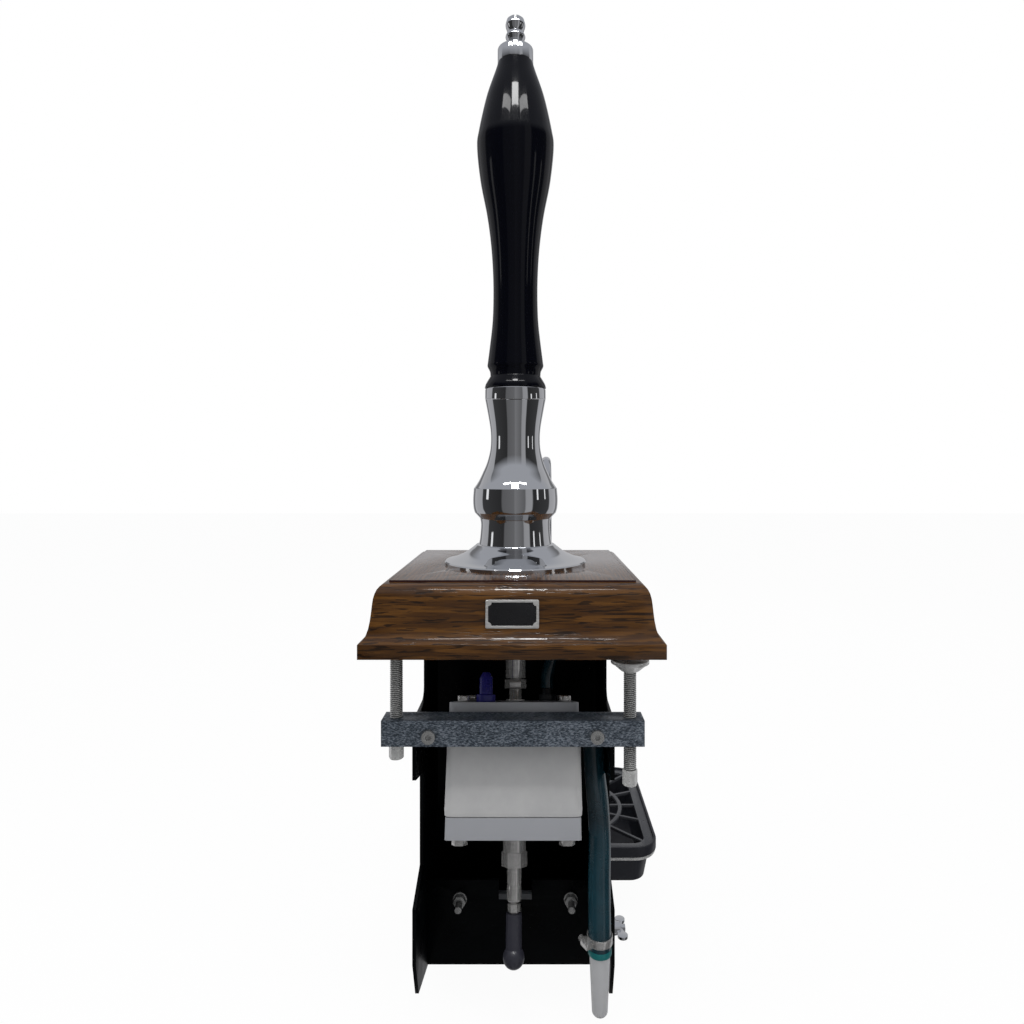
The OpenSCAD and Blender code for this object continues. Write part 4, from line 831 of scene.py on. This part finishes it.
fitting_black, tree, shader = new_look("fitting_black", Base_Color=(0.02, 0.022, 0.025, 1))
smeared(tree, shader, 0.25, 0.4, 80.0)
cap_blue, tree, shader = new_look("cap_blue", Base_Color=(0.013, 0.012, 0.115, 1))
smeared(tree, shader, 0.25, 0.42, 80.0)
dress("cylinder_top_plate", acetal, "cylinder", "acetal", ease=0.7, segments=3)
dress("cylinder_bottom_plate", acetal, "cylinder", "acetal", ease=0.9, segments=3)
dress("cylinder_barrel", acetal, "cylinder", "acetal", ease=0.2)
dress("tie_bolts", stainless, "cylinder", "stainless", ease=0.25)
dress("port_cap", cap_blue, "cylinder", "cap_blue", ease=0.6, segments=3)
dress("inlet_elbow", fitting_black, "cylinder", "fitting_black", ease=0.3)
dress("outlet_elbow", fitting_black, "cylinder", "fitting_black", ease=0.3)
for node in ("gland_body", "gland_nut", "drive_stud", "drive_lock_nut", "drive_clevis",
             "clevis_pin"):
    dress(node, stainless, "cylinder", "stainless", ease=0.35)

# Piston and rod.
# A sealed acetal piston on a steel rod, locked by a nut in a ball-ended rod end. They stand still
# on the foot plate while the cylinder moves round them.
seal_black, tree, shader = new_look("seal_black", Base_Color=(0.01, 0.01, 0.01, 1))
smeared(tree, shader, 0.4, 0.6, 90.0)
rod_grey, tree, shader = new_look("rod_grey", Base_Color=(0.022, 0.022, 0.030, 1))
smeared(tree, shader, 0.3, 0.46, 80.0)
dress("piston", acetal, "frame", "acetal", ease=0.3)
dress("piston_seals", seal_black, "frame", "seal_black", ease=0.02)
dress("piston_rod", stainless, "frame", "stainless", ease=0.2)
dress("rod_lock_nut", stainless, "frame", "stainless", ease=0.3)
dress("rod_end", rod_grey, "frame", "rod_end_grey", ease=0.4)
dress("ball_stud", stainless, "frame", "stainless", ease=0.3)

# Outlet hose, from the top plate to the foot of the swan neck.
# Dark beer hose, here one fixed tube on no body; on the pump its lower end moves with the cylinder and its
# upper end stays with the body.
outlet_diameter = 12 * MM
outlet_route = metres([
    (29.6, 37.4, -69.1), (29.6, 40.7, -59), (32.5, 44, -48.5), (36, 48, -36), (35.2, 53, -23),
    (31.8, 60.5, -12.5), (29.6, 66, -5), (29.6, 66, 4)
])
outlet = add_piece("outlet_tube", bent_tube(outlet_route, outlet_diameter / 2, 24, 5), teal_hose, None,
                   "outlet_hose", slot="hose_clear")
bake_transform(outlet)

# Swan neck and spout.
# A bent chromed tube, held by nuts in the board behind the vase; it ends in a nozzle and a white
# sparkler.
NECK_X, NECK_RISE, NECK_FALL = 29.6, 66, 130
BEND_FOOT, BEND_TOP, BEND_STEPS = 60, 115.2, 24
neck_middle = (NECK_RISE + NECK_FALL) / 2
neck_bend = (NECK_FALL - NECK_RISE) / 2
turns = [pi * k / BEND_STEPS for k in range(BEND_STEPS + 1)]
neck_line = [(NECK_X, NECK_RISE, 4), (NECK_X, NECK_RISE, BEND_FOOT)]
neck_line += [(NECK_X, neck_middle - neck_bend * cos(a), BEND_TOP + neck_bend * sin(a)) for a in turns]
neck_line += [(NECK_X, NECK_FALL, BEND_FOOT), (NECK_X, NECK_FALL, 28)]
neck_tube = bent_tube(metres(neck_line), 4.8 * MM, sides=40, steps=1)

sparkler_white, tree, shader = new_look("sparkler_white", Base_Color=(0.72, 0.72, 0.70, 1))
smeared(tree, shader, 0.25, 0.4, 80.0)
add_piece("neck_tube", neck_tube, chrome, "frame", "swan_neck", slot="chrome")
dress("neck_nuts", chrome, "frame", "chrome", ease=0.4)
dress("spout_nozzle", chrome, "frame", "chrome", ease=0.4)
dress("sparkler", sparkler_white, "sparkler", "sparkler_white", ease=0.3)

# Drip tray.
# A dark moulded tray with a rounded rim hangs in a wire loop on a flat steel bracket, which a wing
# screw holds at the right height. A ribbed grille lies just under the rim.
tray_black, tree, shader = new_look("tray_black", Base_Color=(0.016, 0.017, 0.022, 1),
                                    Specular_IOR_Level=0.3)
grain = put(tree, "TexNoise", Vector=surface_place(tree), Scale=1200.0, Detail=2.0)
smeared(tree, shader, 0.3, 0.45, 40.0)
bumped(tree, shader, grain.outputs[0], 0.12, 0.0002)
grille_grey, tree, shader = new_look("grille_grey", Base_Color=(0.05, 0.052, 0.058, 1))
smeared(tree, shader, 0.25, 0.45, 50.0)
dress("tray_bracket", bright_zinc, "tray_carrier", "zinc", ease=0.3)
dress("tray_wing_screw", chrome, "wing_screw", "chrome", ease=0.5, segments=3)
dress("drip_tray", tray_black, "tray", "tray_black", ease=0.6, segments=3, sharp=40)
dress("tray_grille", grille_grey, "grille", "grille_grey", ease=0.4)
